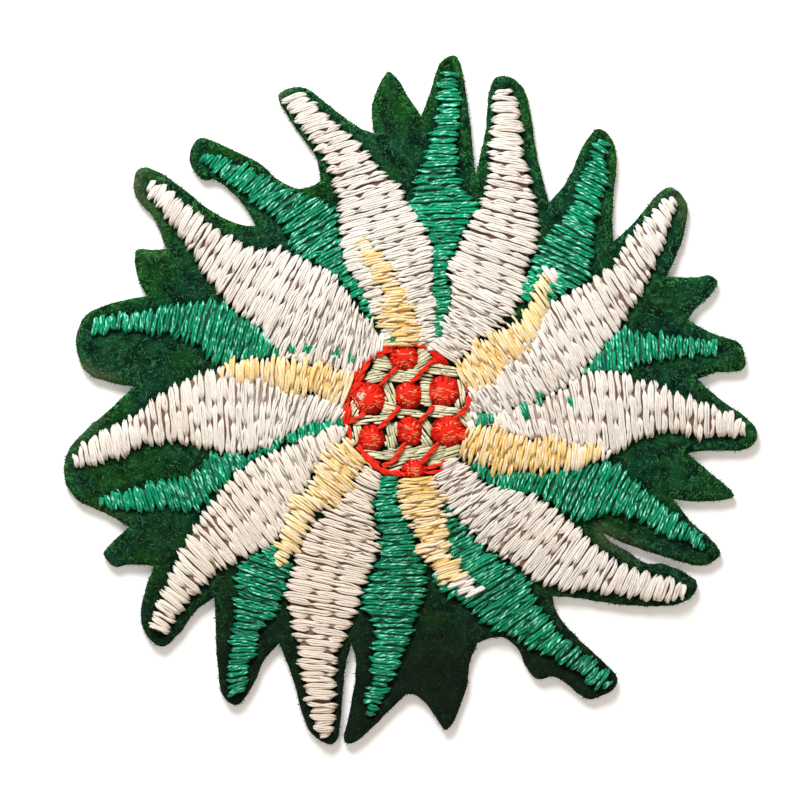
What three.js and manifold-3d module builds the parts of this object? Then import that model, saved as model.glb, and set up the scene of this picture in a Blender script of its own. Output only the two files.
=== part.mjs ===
import * as THREE from 'three';
import { mergeVertices } from 'three/addons/utils/BufferGeometryUtils.js';
import Module from 'manifold-3d';

// Embroidered flower patch: a felt sheet cut to the flower's outline, with raised fields of thread on it.
// Millimetres. The origin is under the flower's middle, on the flat back. +Z points out of the front.

// Felt sheet
const FELT_THICKNESS = 1.5;
const LOBE_STEPS = 2;

// Thread fields: how high each colour stands on the felt, and its relief of stitch rows, larger than life
const GREEN_HEIGHT = 0.75;
const WHITE_HEIGHT = 0.95;
const YELLOW_HEIGHT = 1.15;
const EDGE_HEIGHT = 0.35;
const LEAST_HEIGHT = 0.18;
const ROW_PITCH = 1.8;
const ROW_DEPTH = 0.28;
const FULL_WIDTH = 3;
const ROW_SHARES = [0, 0.2, 0.5, 0.8, 1];
const SHORTEST_ROW = 0.5;
const CLOSING_STEP = 0.2;
const LEAST_SLANT = 0.5;
const OUTLINE_STEPS = 2;
const FIELD_GAP = 0.3;
const ROOM_HEIGHT = 4;

// Flower middle: half sizes of the stitched oval, thread bands and red thread
const MIDDLE_X = 6.3;
const MIDDLE_Y = 6.75;
const MIDDLE_SIDES = 40;
const BAND_HEIGHT = 0.65;
const LOWER_BAND_HEIGHT = 0.45;
const BAND_STRANDS = 3;
const STRAND_WIDTH = 0.36;
const STRAND_CREST = 0.4;
const STRAND_DEPTH = 0.15;
const DOT_HEIGHT = 1.25;
const DOT_SIDES = 12;
const DOT_SCALLOP = 0.07;
const DOT_PROFILE = [[0, 0], [1, 0], [1, 0.5], [0.75, 0.87], [0, 1]];
const DOT_CLEARANCE = 0.2;
const RED_THREAD_RADIUS = 0.28;
const RED_THREAD_SIDES = 6;
const THREAD_LIFT = 0.06;

const FELT_ROUGHNESS = 1;
const THREAD_ROUGHNESS = 0.45;
const COLOURS = {
  felt: 0x14462a,
  white: 0xf0e8dc,
  green: 0x17966e,
  yellow: 0xe8c470,
  sage: 0xc9cb95,
  red: 0xf0260f,
};

// Outlines of the thread fields, from the flower's middle out along one side, round the tip and back.
// spine runs from the middle to the tip. threads gives the stitches' direction in degrees, evenly along it.
const WHITE_PETALS = [
  {
    outline: [
      [-2.4, 7.2], [-3.1, 9.4], [-4.6, 11.9], [-6, 14], [-6.9, 17], [-7, 20], [-7.4, 22.9], [-8.3, 24.8],
      [-9.9, 27.2], [-11.8, 30], [-12.5, 31.1], [-12.1, 31.9], [-10.5, 32], [-9.3, 30.9], [-7, 28.9],
      [-4.4, 26.3], [-2.5, 24.2], [-0.8, 22.5], [0.4, 20.6], [1.5, 18.7], [2.5, 16.9], [2.8, 15.2],
      [2.6, 12.5], [2.8, 9.5], [2.9, 7.3],
    ],
    spine: [[0.2, 7.4], [-11.4, 31.8]],
    threads: [12, 16, 20],
  },
  {
    outline: [
      [3.2, 6.5], [4.1, 8.2], [4.1, 10.5], [4, 13.5], [4.3, 15.4], [5.2, 16.8], [6.1, 19.2], [7.2, 21.2],
      [8.1, 23.8], [8.1, 26.5], [8.5, 29.2], [8.5, 31.2], [9.1, 32.3], [9.8, 32.5], [10.6, 31.4],
      [11.2, 29.6], [11.6, 27], [11.9, 24.6], [12.6, 21.8], [13.1, 19.2], [13.2, 17.4], [12.2, 14.8],
      [11.6, 12.2], [10.2, 9.6], [7.6, 7.4], [5.2, 5.2],
    ],
    spine: [[4.4, 6.2], [9.6, 32.3]],
    threads: [-34, -22, -10, 0],
  },
  {
    outline: [
      [6.2, 1.6], [6, 4.2], [8.5, 6.4], [11.4, 8.9], [13.6, 10.4], [15.6, 11.9], [18.3, 13.4], [20.2, 14.6],
      [21.5, 16.7], [23.2, 18.9], [24.9, 20.4], [25.6, 21.4], [26.6, 21.4], [26.7, 20], [26, 18],
      [25, 15.4], [24.1, 13.1], [22.8, 11], [21.5, 8.6], [19.8, 6.5], [18.2, 4.5], [16.4, 3.1],
      [13.6, 1.5], [10.8, 0.7], [8, 0],
    ],
    spine: [[6.6, 1.8], [26.3, 21.3]],
    threads: [120, 118, 128],
  },
  {
    outline: [
      [6.4, -0.6], [8.4, -0.2], [11, 0.4], [13.8, 1.2], [16.4, 2.8], [17.6, 4], [21.4, 4.1], [22.6, 3.3],
      [24.4, 3.1], [26, 2.3], [28.4, 1.5], [30.5, 0.7], [32.4, -0.2], [33.5, -1.2], [34, -1.9],
      [33.2, -2.4], [31, -2.5], [29.2, -2.7], [27, -2.1], [25, -2.2], [23, -3], [21, -3.9], [19, -4.6],
      [15, -4.8], [10, -4.2], [6.6, -3.4],
    ],
    spine: [[6.6, -1.8], [33.8, -1.8]],
    threads: [112, 102, 92, 84],
  },
  {
    outline: [
      [4.4, -5.2], [6.2, -5.6], [7.8, -6.9], [9.2, -7.7], [11.4, -7.9], [13.2, -8.5], [15, -9.8],
      [16.6, -11], [18.2, -12.7], [19.8, -14.1], [22, -15.5], [24.4, -16.2], [26.8, -16.8], [28, -17.7],
      [27.6, -18.5], [25.3, -18.9], [22, -18.4], [18.6, -18.1], [15.2, -17.8], [13, -17.1], [10.6, -15.5],
      [8.4, -14.1], [6.6, -12.6], [5, -10.8], [3.8, -8.9], [3.4, -6.4],
    ],
    spine: [[4.2, -5.8], [16, -14.2], [27.8, -18]],
    threads: [28, 46, 60, 74],
  },
  {
    outline: [
      [-3.8, -5.9], [-5.6, -7.4], [-8.2, -9.9], [-10, -11.6], [-11.2, -13.9], [-11.8, -16.2],
      [-12.3, -18.4], [-11.8, -20.8], [-11.2, -23.2], [-10.8, -26], [-10.1, -28.9], [-9.4, -30.9],
      [-9, -32.3], [-8.3, -32.6], [-7.5, -31.4], [-7.3, -29], [-7.2, -26], [-7, -24], [-6, -21.6],
      [-4.8, -18.9], [-4, -16.4], [-3.1, -14.2], [-3, -12.5], [-3.5, -10], [-3.2, -7.8], [-2.9, -6.5],
    ],
    spine: [[-3.6, -6.2], [-8.6, -32.4]],
    threads: [-28, -14, -6, 2],
  },
  {
    outline: [
      [-6.4, -1], [-8.2, -1.7], [-10.2, -2.3], [-12.2, -3], [-14.2, -4], [-16.4, -5.3], [-18.4, -7.3],
      [-20.2, -9.6], [-22, -12.1], [-23.4, -15], [-24.6, -18], [-25.6, -20.4], [-25.6, -21.9],
      [-24.9, -22.5], [-24, -21.7], [-22.7, -20], [-21, -18.1], [-19.4, -16.4], [-17.2, -15],
      [-15.4, -14.1], [-13.8, -13.8], [-12.6, -12.4], [-11.2, -9.6], [-9.4, -6.4], [-7.6, -3.8],
      [-6.6, -2.3],
    ],
    spine: [[-6.5, -1.8], [-25, -22.2]],
    threads: [108, 120, 132, 152],
  },
  {
    outline: [
      [-6.5, 1], [-9, 1.8], [-12, 2.8], [-15, 3.9], [-18, 4.3], [-21, 3.9], [-23.4, 2.6], [-25.4, 1.4],
      [-27, 0], [-28.8, -1.1], [-30.6, -2.1], [-32.3, -3], [-33.3, -4.3], [-33.5, -5.3], [-32.4, -5.4],
      [-30.2, -4.9], [-28, -4.3], [-26.4, -3.4], [-22.4, -3.2], [-20, -3.8], [-17.4, -4.2],
      [-14.6, -3.9], [-12.4, -2.7], [-10.2, -1.7], [-8.2, -0.9], [-6.6, -0.4],
    ],
    spine: [[-6.5, 0.4], [-20, 0], [-33.3, -4.9]],
    threads: [58, 90, 96, 104],
  },
  {
    outline: [
      [-2.6, 7.5], [-3.4, 8.9], [-4.8, 10.3], [-6.2, 11.9], [-7.3, 13.9], [-8.8, 14.6], [-10.6, 15.6],
      [-12.8, 16.4], [-15.4, 16.5], [-18, 17.8], [-20.6, 19.5], [-23, 21.5], [-25.2, 22.9],
      [-26.3, 23.2], [-26.1, 22.2], [-24.6, 20], [-22.7, 17.6], [-21.2, 15.2], [-19.6, 12.6],
      [-17.8, 10.5], [-15.6, 8.8], [-13.6, 7.6], [-12.2, 6.2], [-9.4, 5.4], [-6.4, 4.6], [-4.8, 5.6],
    ],
    spine: [[-4, 7.4], [-14, 12.8], [-26.1, 23]],
    threads: [80, 62, 58, 60],
  },
];

const GREEN_LEAVES = [
  {
    outline: [
      [2.6, 8.6], [2.5, 12], [2.4, 16], [1.2, 18.8], [0, 20.6], [0.4, 22.2], [1.2, 24.6], [1.8, 26.4],
      [2.5, 28.6], [3, 31], [3.1, 33.2], [3.8, 34.3], [4.6, 34.2], [5, 33], [5.2, 30.4], [5, 27.6],
      [5, 24.8], [5.5, 22.2], [7, 20.9], [6.4, 19.2], [5.2, 17], [4.2, 15.2], [4.1, 12], [4.2, 8.8],
    ],
    spine: [[3.4, 8.6], [3.4, 20], [4.2, 34.2]],
    threads: [4, 0],
  },
  {
    outline: [
      [11.4, 11.4], [12, 14.2], [13.1, 16.4], [14.4, 18.2], [15.8, 20.1], [16.9, 22], [17, 23.4],
      [18, 25.2], [18.6, 26.5], [19.4, 27.3], [20, 26.6], [19.8, 24.9], [19.9, 22.8], [19.2, 21],
      [18.8, 18.6], [18.6, 15.6], [18.2, 13.4], [16.4, 12.4], [14.2, 11], [12.4, 10.4],
    ],
    spine: [[12.8, 11.4], [17, 19], [19.3, 27]],
    threads: [-24, -30],
  },
  {
    outline: [
      [16.4, 3.2], [18.4, 5.4], [20.2, 7.4], [21.6, 8.9], [22.8, 7.9], [25.4, 7.7], [28, 7.4], [30.6, 7],
      [32, 6.4], [31.6, 5.9], [30, 5.9], [27.6, 5.5], [25, 5.1], [22.9, 4.6], [21.4, 3.8], [19, 3.6],
    ],
    spine: [[17.4, 3.9], [22, 6], [31.8, 6.3]],
    threads: [96, 92, 82],
  },
  {
    outline: [
      [7, -5], [11, -5.4], [15, -5.3], [18.4, -5.1], [20.8, -5], [22.6, -6.5], [24.4, -8.3], [26.2, -9.9],
      [28, -11.4], [29.6, -12.7], [30.1, -13.6], [29, -13.7], [27.2, -12.9], [25.4, -12.5],
      [24, -11.2], [22, -10.6], [19.6, -10.3], [17.4, -11], [15.6, -10.3], [13.2, -8.7], [9.2, -7.8],
      [7, -6.4],
    ],
    spine: [[7.4, -5.8], [18, -7.6], [29.9, -13.5]],
    threads: [72, 64, 66],
  },
  {
    outline: [
      [3.8, -8.8], [5, -10.8], [6.8, -12.8], [9.4, -14.8], [12, -16.6], [12.8, -18.6], [13.9, -20.5],
      [15.6, -22.4], [17.2, -23.9], [18.8, -25.2], [20.1, -26], [20.4, -26.6], [20.1, -27.4],
      [18.8, -27.7], [17.4, -26.5], [15.4, -25.3], [13.2, -24], [11, -22.8], [8.6, -21.9], [6.8, -20.4],
      [4.6, -18.7], [2.7, -17], [2.8, -13],
    ],
    spine: [[4, -10], [9, -18], [20.2, -27]],
    threads: [24, 34, 48],
  },
  {
    outline: [
      [-3, -6.8], [-3.4, -9.5], [-2.9, -13], [-3.6, -16.2], [-4.8, -19], [-3.8, -21], [-3.4, -22.6],
      [-3.6, -25], [-3.5, -26.8], [-4.4, -28], [-4.2, -29.4], [-4.3, -30.4], [-3.4, -29.8],
      [-2.2, -27.8], [-0.8, -25.2], [0.2, -23.2], [1, -20.8], [1.6, -18.2], [1.9, -15.6], [1, -13.6],
      [0, -11], [-1, -9], [-1.2, -7],
    ],
    spine: [[-2.2, -7], [-1, -15], [-1.4, -21], [-4, -30.2]],
    threads: [6, 0, -8],
  },
  {
    outline: [
      [-10.4, -12.2], [-13.2, -13.2], [-15.2, -14.2], [-17.2, -15.2], [-17.3, -18.4], [-17.6, -21.6],
      [-18.1, -24.6], [-18, -27.4], [-17.4, -28.5], [-16.5, -28], [-15.8, -25.4], [-14.8, -22.4],
      [-13.4, -20.2], [-12.2, -18.2], [-11.6, -15.4], [-10.9, -13.4],
    ],
    spine: [[-12.4, -13.6], [-14.8, -17], [-16.4, -22.5], [-17.3, -28.2]],
    threads: [-22, -18, -4, 24],
  },
  {
    outline: [
      [-7.4, -1], [-10, -1.8], [-12.8, -2.9], [-15, -4], [-17.6, -4.2], [-19.9, -4.1], [-20.7, -5.6],
      [-22.6, -6.5], [-25, -7], [-28, -7.7], [-30.4, -8.4], [-31.5, -8.9], [-30.4, -9.5], [-28, -9.9],
      [-24.6, -9.6], [-21, -9.9], [-19.6, -8.5], [-17.6, -6.5], [-15.2, -5], [-12.4, -3.3],
      [-9.6, -2.2],
    ],
    spine: [[-8, -1.4], [-14, -4.2], [-19.5, -6.4], [-25, -8.3], [-31.2, -8.9]],
    threads: [92, 100, 108, 108, 100],
  },
  {
    outline: [
      [-12, 5.2], [-15, 5.3], [-17.6, 4.8], [-19.4, 4.8], [-21, 6.5], [-23.4, 7.5], [-26.6, 7.8],
      [-29.6, 8], [-31.8, 7.6], [-32, 8.8], [-30.4, 9.6], [-27, 9.9], [-24, 10.5], [-21.6, 11.1],
      [-19, 11.2], [-16.6, 9.8], [-14.4, 8.2], [-12.6, 6.8],
    ],
    spine: [[-12.4, 6], [-17, 7.8], [-22, 9], [-31.8, 8.5]],
    threads: [72, 76, 82],
  },
  {
    outline: [
      [-3.2, 9], [-5, 11], [-6.6, 13.2], [-8.6, 14.4], [-10.2, 15.4], [-12, 16.2], [-12.1, 17.8],
      [-13.2, 19.4], [-15, 20.6], [-16.6, 21.8], [-18.2, 23.2], [-20.2, 24.7], [-20.9, 25.4],
      [-20, 25.9], [-18, 25.3], [-15.6, 24.5], [-13.6, 23.3], [-11.6, 22.3], [-9.6, 21.7],
      [-7.4, 20.6], [-6.8, 18], [-6.2, 15.2], [-4.8, 12.4], [-3, 10.2],
    ],
    spine: [[-3.4, 9.6], [-7, 15], [-10.5, 18.8], [-20.4, 25.2]],
    threads: [16, 30, 36, 52],
  },
];

const YELLOW_PETALS = [
  {
    outline: [
      [-1.9, 7.4], [-2.4, 8.8], [-3.1, 10.4], [-3.2, 12.4], [-4.3, 14.3], [-5.2, 16], [-5.8, 17.3],
      [-5, 18], [-4, 17.6], [-2.6, 16.2], [-1.2, 14.6], [-0.4, 13], [0.6, 11.2], [1.4, 9.4], [1.7, 8],
      [1.4, 7.2],
    ],
    spine: [[-0.2, 7.3], [-5.1, 17.6]],
    threads: [3, 8, 18],
  },
  {
    outline: [
      [5.2, 4.4], [5.5, 5.9], [7.2, 7.5], [9.2, 8.8], [11.4, 9.7], [12.1, 11.4], [12.8, 13.2],
      [13.6, 14.5], [14.8, 14.4], [15.1, 13.5], [14, 12.2], [14.1, 10.5], [13.4, 8.8], [13.3, 7.4],
      [11.9, 6], [10.4, 4.6], [8.6, 2.4], [7.4, 2.2], [6.2, 3],
    ],
    spine: [[6.2, 3.6], [12.2, 8.8], [14.4, 14.2]],
    threads: [-60, -58, -52],
  },
  {
    outline: [
      [5.6, -4.4], [6.4, -2.9], [8, -1.4], [10.4, -1.4], [12.8, -2.3], [14.4, -1.9], [16.4, -2.8],
      [18.8, -3], [20.4, -3.6], [20.4, -4.6], [18.6, -5.3], [16.4, -5.7], [13.6, -6.4], [11, -6.2],
      [8.8, -6.4], [7, -5.3],
    ],
    spine: [[5.9, -4.2], [20.2, -4.1]],
    threads: [72, 82, 84],
  },
  {
    outline: [
      [-1.3, -7.2], [-1.2, -8.8], [-0.4, -10.6], [0.4, -12.6], [0.8, -14.2], [1.9, -15.4], [2.8, -16.4],
      [4.6, -17.6], [6, -18.6], [7.2, -18.3], [7.4, -17.4], [6.2, -16.2], [4.9, -14.6], [4.1, -12.8],
      [4, -10.4], [3.8, -8.6], [3.6, -7.2], [3.2, -6.4],
    ],
    spine: [[1.2, -7], [1.8, -11], [2.8, -14.6], [6.6, -18.1]],
    threads: [6, 14, 24],
  },
  {
    outline: [
      [-6.3, -2.1], [-7.5, -2.4], [-8.6, -3.9], [-9.8, -5.6], [-10.2, -7], [-11.6, -8.6],
      [-12.4, -10.4], [-12.9, -12.4], [-13.6, -14.4], [-13, -15.4], [-12.1, -15.4], [-11.1, -13.9],
      [-10.2, -12], [-8.9, -10.1], [-6.4, -9.3], [-5.2, -7.4], [-4.2, -5.8], [-4.9, -4.6], [-5.8, -3.2],
    ],
    spine: [[-5.9, -3], [-12.8, -15.1]],
    threads: [-44, -36, -28],
  },
  {
    outline: [
      [-5.9, 3.9], [-7.2, 4.8], [-9.4, 5.3], [-11.6, 5.5], [-14, 5.5], [-16.4, 5.4], [-18.2, 4.7],
      [-19.1, 3.9], [-18.4, 3.2], [-16.4, 2.9], [-14.2, 3], [-12.6, 2], [-10.4, 1.6], [-8.6, 0.9],
      [-7.2, 0.7], [-6.2, 1.1],
    ],
    spine: [[-6.2, 2.6], [-18.8, 3.9]],
    threads: [70, 86, 92],
  },
];

// Felt outline, clockwise from the top: one smooth lobe a row, and a sharp notch where the next one starts.
const FELT_LOBES = [
  [[1.3, 29.6], [2.2, 31.7], [3.2, 34.8], [4.7, 35.6], [5.4, 34], [6.1, 29.4], [6.5, 25.2], [6.8, 23.5]],
  [[6.8, 23.5], [7.8, 28], [8.2, 32.2], [9.2, 33.6], [11, 33], [12, 31], [12.8, 26], [14.1, 20.8]],
  [[14.1, 20.8], [16, 23.2], [17.6, 26.6], [19, 28.3], [20.5, 27], [20.8, 24.6], [20.4, 20], [20.5, 17]],
  [[20.5, 17], [22.6, 18.8], [25, 21.7], [26.4, 22.4], [27.9, 20.8], [27.6, 17.9], [26.6, 15.2],
    [25.8, 13.5]],
  [[25.8, 13.5], [28.4, 13.4], [30.2, 13.6], [30.9, 12.8], [29.9, 11.4], [28.6, 10.2], [27.9, 9.2]],
  [[27.9, 9.2], [30.4, 7.9], [33, 6.9], [33.7, 5.4], [33.3, 4.2], [30.8, 4], [28.9, 3.3]],
  [[28.9, 3.3], [31.2, 1.2], [33.4, -0.3], [34.8, -1.7], [34.7, -3], [33.4, -3.8], [30.2, -3.8],
    [27.8, -4.1]],
  [[27.8, -4.1], [29.4, -5.4], [31.3, -7], [32.4, -8], [32.4, -8.6], [29.4, -8.9], [26.5, -8.7]],
  [[26.5, -8.7], [28.1, -10.8], [30.2, -12.7], [31.2, -14.1], [30.4, -15], [28.8, -15.3], [25.2, -14.3],
    [22, -13.2], [19.5, -12]],
  [[19.5, -12], [20, -12.9], [22, -14], [23.7, -15.2], [25.6, -15.3], [27.4, -16], [28.8, -17],
    [28.6, -18.2], [27, -19.2], [24, -19.4], [20.4, -19.1], [17, -18.6], [14.4, -18.4]],
  [[14.4, -18.4], [14.9, -20.2], [16.6, -22.3], [19, -24.6], [20.8, -26.4], [20.5, -27.7], [19.3, -28.4],
    [17.8, -28.6], [15.6, -27], [14.4, -26.4], [13, -26.7], [11.8, -25.4], [11, -23.6], [9.6, -22.5],
    [8.2, -22.6], [6.9, -23.1]],
  [[6.9, -23.1], [6.1, -25.2], [5.9, -27.4], [5.2, -29.4], [4.6, -30.8], [3.8, -31.8], [3, -30.8],
    [1.9, -29.2], [0.6, -28.2], [-0.3, -28.3]],
  [[-0.3, -28.3], [-2.2, -30.1], [-3.6, -31.6], [-5.4, -33], [-6.4, -32.8], [-6, -30.8], [-5.3, -27.4],
    [-5.2, -24.6], [-5.7, -23]],
  [[-5.7, -23], [-6.4, -26], [-6.8, -30.4], [-7.1, -32.7], [-8, -33.2], [-9.6, -32.2], [-10.5, -30.2],
    [-11.6, -26.3], [-12.9, -23.1]],
  [[-12.9, -23.1], [-14.4, -24.8], [-15.8, -27.7], [-17.2, -29.3], [-18.5, -28.3], [-19, -25.6],
    [-19.2, -21.6], [-19.3, -18.5]],
  [[-19.3, -18.5], [-21.2, -19.8], [-23, -22.2], [-24.6, -23.4], [-26.2, -22.2], [-26.7, -20],
    [-26.1, -17.4], [-25.3, -15.4]],
  [[-25.3, -15.4], [-27.6, -15.2], [-29.4, -15.4], [-30.4, -14.2], [-29.4, -12.9], [-27.8, -11.5]],
  [[-27.8, -11.5], [-30.4, -10], [-33, -8.8], [-34.3, -6.8], [-34.1, -4.2], [-32.2, -1.8], [-29.6, 0.4],
    [-27.4, 2.6]],
  [[-27.4, 2.6], [-30.2, 3.1], [-32.3, 4.2], [-33.2, 6.8], [-32.4, 9.4], [-30.4, 10.6], [-26, 11.6]],
  [[-26, 11.6], [-27, 13.5], [-27.2, 16.1], [-25.4, 16.2], [-24.1, 16.3]],
  [[-24.1, 16.3], [-25.4, 19.4], [-27.2, 21.6], [-27.3, 23.7], [-26.3, 24.4], [-24, 23.4], [-20.4, 20.6],
    [-17.2, 18.8], [-15.1, 18.6]],
  [[-15.1, 18.6], [-16.6, 21], [-19, 23.2], [-20.6, 23.4], [-21.8, 25.2], [-21.1, 27.2], [-19.6, 27.1],
    [-15.2, 25], [-13, 23.2], [-11, 22.3], [-9.4, 22.7], [-8.7, 23.2]],
  [[-8.7, 23.2], [-9.2, 25.6], [-11, 28.2], [-12.9, 31.3], [-12, 32.3], [-10.3, 32.4], [-8, 30.7],
    [-5.2, 28.6], [-3.3, 27.8]],
  [[-3.3, 27.8], [-3.6, 30], [-3.2, 31.9], [-2.3, 33.6], [-1.9, 34], [-1, 33.2], [-0.2, 31.8], [1.3, 29.6]],
];

// Sage bands as straight lines from end to end, inside the red rim. The upper ones cross over the lower ones.
const LOWER_BANDS = [
  [[-3.9, 3.7], [4.6, 4.3]],
  [[-5.2, -0.8], [4.3, 0.2]],
  [[-3, -4.2], [4.4, -4.1]],
];
const UPPER_BANDS = [
  [[-2.7, 4.9], [-1.7, -5.2]],
  [[1.7, 5.5], [1.9, -4.8]],
];

// Red dots as centre and radius
const RED_DOTS = [
  [-0.45, 5.3, 1.35],
  [3, 5.3, 0.75],
  [-3.75, 1.3, 1.45],
  [0, 1.7, 1.3],
  [3.55, 2, 1.45],
  [-3.6, -2.6, 1.3],
  [0.05, -1.9, 1.25],
  [3.6, -2, 1.5],
  [0.7, -5.7, 1.1],
];

// Red thread round the rim, lying on the felt
const RIM_THREADS = [
  [[-1.2, 6], [-3.4, 5.4], [-4.9, 3.4], [-5.9, 0.9], [-5.9, -1.4], [-5.1, -3.3], [-3.8, -4.9], [-2, -5.9],
    [0, -6.1], [2.2, -5.8], [4.1, -5.15]],
  [[0, 6.1], [1.6, 6.2], [3.2, 5.6]],
  [[4.4, 2.9], [5.7, 1.9], [5.6, 0.9], [4.9, -0.2], [4.1, -1.2]],
  [[-3.6, -2.9], [-4.9, -3.6]],
  [[-3.9, 1.3], [-5.7, 0.7]],
];

// Red thread that slants over the sage bands from dot to dot
const SLANT_THREADS = [
  [[-0.9, 5], [-3.3, 1.9]],
  [[2.9, 5.2], [0.3, 2.2]],
  [[-0.2, 1.3], [-3.2, -2.1]],
  [[3.3, 1.6], [0.3, -1.5]],
  [[3.4, -2.5], [1, -5.4]],
];

// Red thread that comes down from the lowest middle dot to the rim
const DIPPING_THREAD = [[-0.1, -2.3], [-0.6, -3.5], [-1.15, -4.85], [-1.9, -5.9]];

const wasm = await Module();
wasm.setup();

function triangleMesh(positions, indices) {
  const geometry = new THREE.BufferGeometry();
  geometry.setAttribute('position', new THREE.Float32BufferAttribute(positions, 3));
  geometry.setIndex(indices);
  return geometry;
}

function toSolid(geometry) {
  const plain = geometry.clone();
  plain.deleteAttribute('normal');
  plain.deleteAttribute('uv');
  const merged = mergeVertices(plain);
  const corners = [];
  for (let i = 0; i < merged.index.count; i += 3) {
    const [a, b, c] = merged.index.array.slice(i, i + 3);
    if (a !== b && b !== c && c !== a) corners.push(a, b, c);
  }
  const mesh = new wasm.Mesh({
    numProp: 3,
    vertProperties: new Float32Array(merged.attributes.position.array),
    triVerts: new Uint32Array(corners),
  });
  return new wasm.Manifold(mesh);
}

function toGeometry(solid) {
  const mesh = solid.getMesh();
  return triangleMesh(Array.from(mesh.vertProperties), Array.from(mesh.triVerts));
}

function joined(solids) {
  return solids.reduce((whole, solid) => whole.add(solid));
}

function largestBody(solid) {
  const bodies = solid.decompose();
  return bodies.reduce((largest, body) => (body.volume() > largest.volume() ? body : largest));
}

// Closed smooth outline through hand-set points, as a list of Vector2 that runs clockwise
function smoothOutline(points, steps) {
  const corners = points.map(([x, y]) => new THREE.Vector3(x, y, 0));
  const curve = new THREE.CatmullRomCurve3(corners, true, 'centripetal');
  const spaced = curve.getPoints(points.length * steps);
  spaced.pop();
  const outline = spaced.map((p) => new THREE.Vector2(p.x, p.y));
  return THREE.ShapeUtils.isClockWise(outline) ? outline : outline.reverse();
}

// A clockwise outline moved outwards by a distance
function grownOutline(outline, distance) {
  return outline.map((point, i) => {
    const before = outline[(i + outline.length - 1) % outline.length];
    const after = outline[(i + 1) % outline.length];
    const along = after.clone().sub(before).normalize();
    return new THREE.Vector2(point.x - along.y * distance, point.y + along.x * distance);
  });
}

function prism(outline, bottom, height) {
  const shape = new THREE.Shape(outline);
  const geometry = new THREE.ExtrudeGeometry(shape, { depth: height, bevelEnabled: false });
  geometry.translate(0, 0, bottom);
  return geometry;
}

function spinePoint(spine, distance) {
  let left = distance;
  for (let i = 1; i < spine.length; i += 1) {
    const start = new THREE.Vector2(...spine[i - 1]);
    const end = new THREE.Vector2(...spine[i]);
    const length = start.distanceTo(end);
    if (left <= length || i === spine.length - 1) return start.lerp(end, left / length);
    left -= length;
  }
  return new THREE.Vector2(...spine[0]);
}

function spineLength(spine) {
  let length = 0;
  for (let i = 1; i < spine.length; i += 1) {
    length += Math.hypot(spine[i][0] - spine[i - 1][0], spine[i][1] - spine[i - 1][1]);
  }
  return length;
}

function threadDirection(threads, share) {
  const place = THREE.MathUtils.clamp(share, 0, 1) * (threads.length - 1);
  const i = Math.min(Math.floor(place), threads.length - 2);
  const degrees = THREE.MathUtils.lerp(threads[i], threads[i + 1], place - i);
  const angle = THREE.MathUtils.degToRad(degrees);
  return new THREE.Vector2(Math.cos(angle), Math.sin(angle));
}

// The stretch of a line that lies inside the outline, nearest to the line's own point
function clippedRow(outline, point, direction) {
  const hits = [];
  outline.forEach((corner, i) => {
    const start = corner.clone().sub(point);
    const end = outline[(i + 1) % outline.length].clone().sub(point);
    const startSide = direction.cross(start);
    const endSide = direction.cross(end);
    if ((startSide < 0) !== (endSide < 0)) {
      hits.push(direction.dot(start.lerp(end, startSide / (startSide - endSide))));
    }
  });
  hits.sort((a, b) => a - b);
  let best = null;
  let bestDistance = Infinity;
  for (let i = 0; i + 1 < hits.length; i += 2) {
    const distance = Math.max(hits[i], -hits[i + 1], 0);
    if (distance < bestDistance) {
      best = [hits[i], hits[i + 1]];
      bestDistance = distance;
    }
  }
  return best;
}

// One row of stitching across a field, at a distance along its spine
function rowAt(field, outline, distance) {
  const direction = threadDirection(field.threads, distance / spineLength(field.spine));
  const point = spinePoint(field.spine, distance);
  const ahead = spinePoint(field.spine, distance + ROW_PITCH).sub(point).normalize();
  const slant = ahead.cross(direction);
  if (slant < 0) direction.negate();
  const reach = clippedRow(outline, point, direction);
  const fits = reach !== null && reach[1] - reach[0] > SHORTEST_ROW;
  const ends = fits ? reach.map((t) => point.clone().addScaledVector(direction, t)) : null;
  return { distance, ends, slant: Math.max(Math.abs(slant), LEAST_SLANT) };
}

// The furthest row that still fits in the outline, from a distance outwards
function closingRow(field, outline, start, step) {
  let last = null;
  let row = rowAt(field, outline, start + step);
  while (row.ends) {
    last = row;
    row = rowAt(field, outline, row.distance + step);
  }
  return last;
}

// Rows of stitching across a field, half a row pitch apart, so that they fall on crests and valleys in turn
function stitchRows(field, outline) {
  const length = spineLength(field.spine);
  const rows = [];
  let distance = -ROW_PITCH;
  while (distance < length + ROW_PITCH) {
    const row = rowAt(field, outline, distance);
    if (row.ends) rows.push(row);
    distance += (ROW_PITCH / 2) / row.slant;
  }
  const first = closingRow(field, outline, rows[0].distance, -CLOSING_STEP);
  const last = closingRow(field, outline, rows[rows.length - 1].distance, CLOSING_STEP);
  return [first, ...rows, last].filter((row) => row !== null).map((row) => row.ends);
}

// How high the thread stands at a share of the way across a row: domed, with every second row in a valley
function rowHeight(width, share, height, inValley) {
  const fullness = Math.min(1, width / FULL_WIDTH);
  const dome = Math.sqrt(1 - (2 * share - 1) ** 2);
  const rise = EDGE_HEIGHT + (height - EDGE_HEIGHT) * dome * fullness;
  return Math.max(rise - (inValley ? ROW_DEPTH : 0), LEAST_HEIGHT);
}

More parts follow.
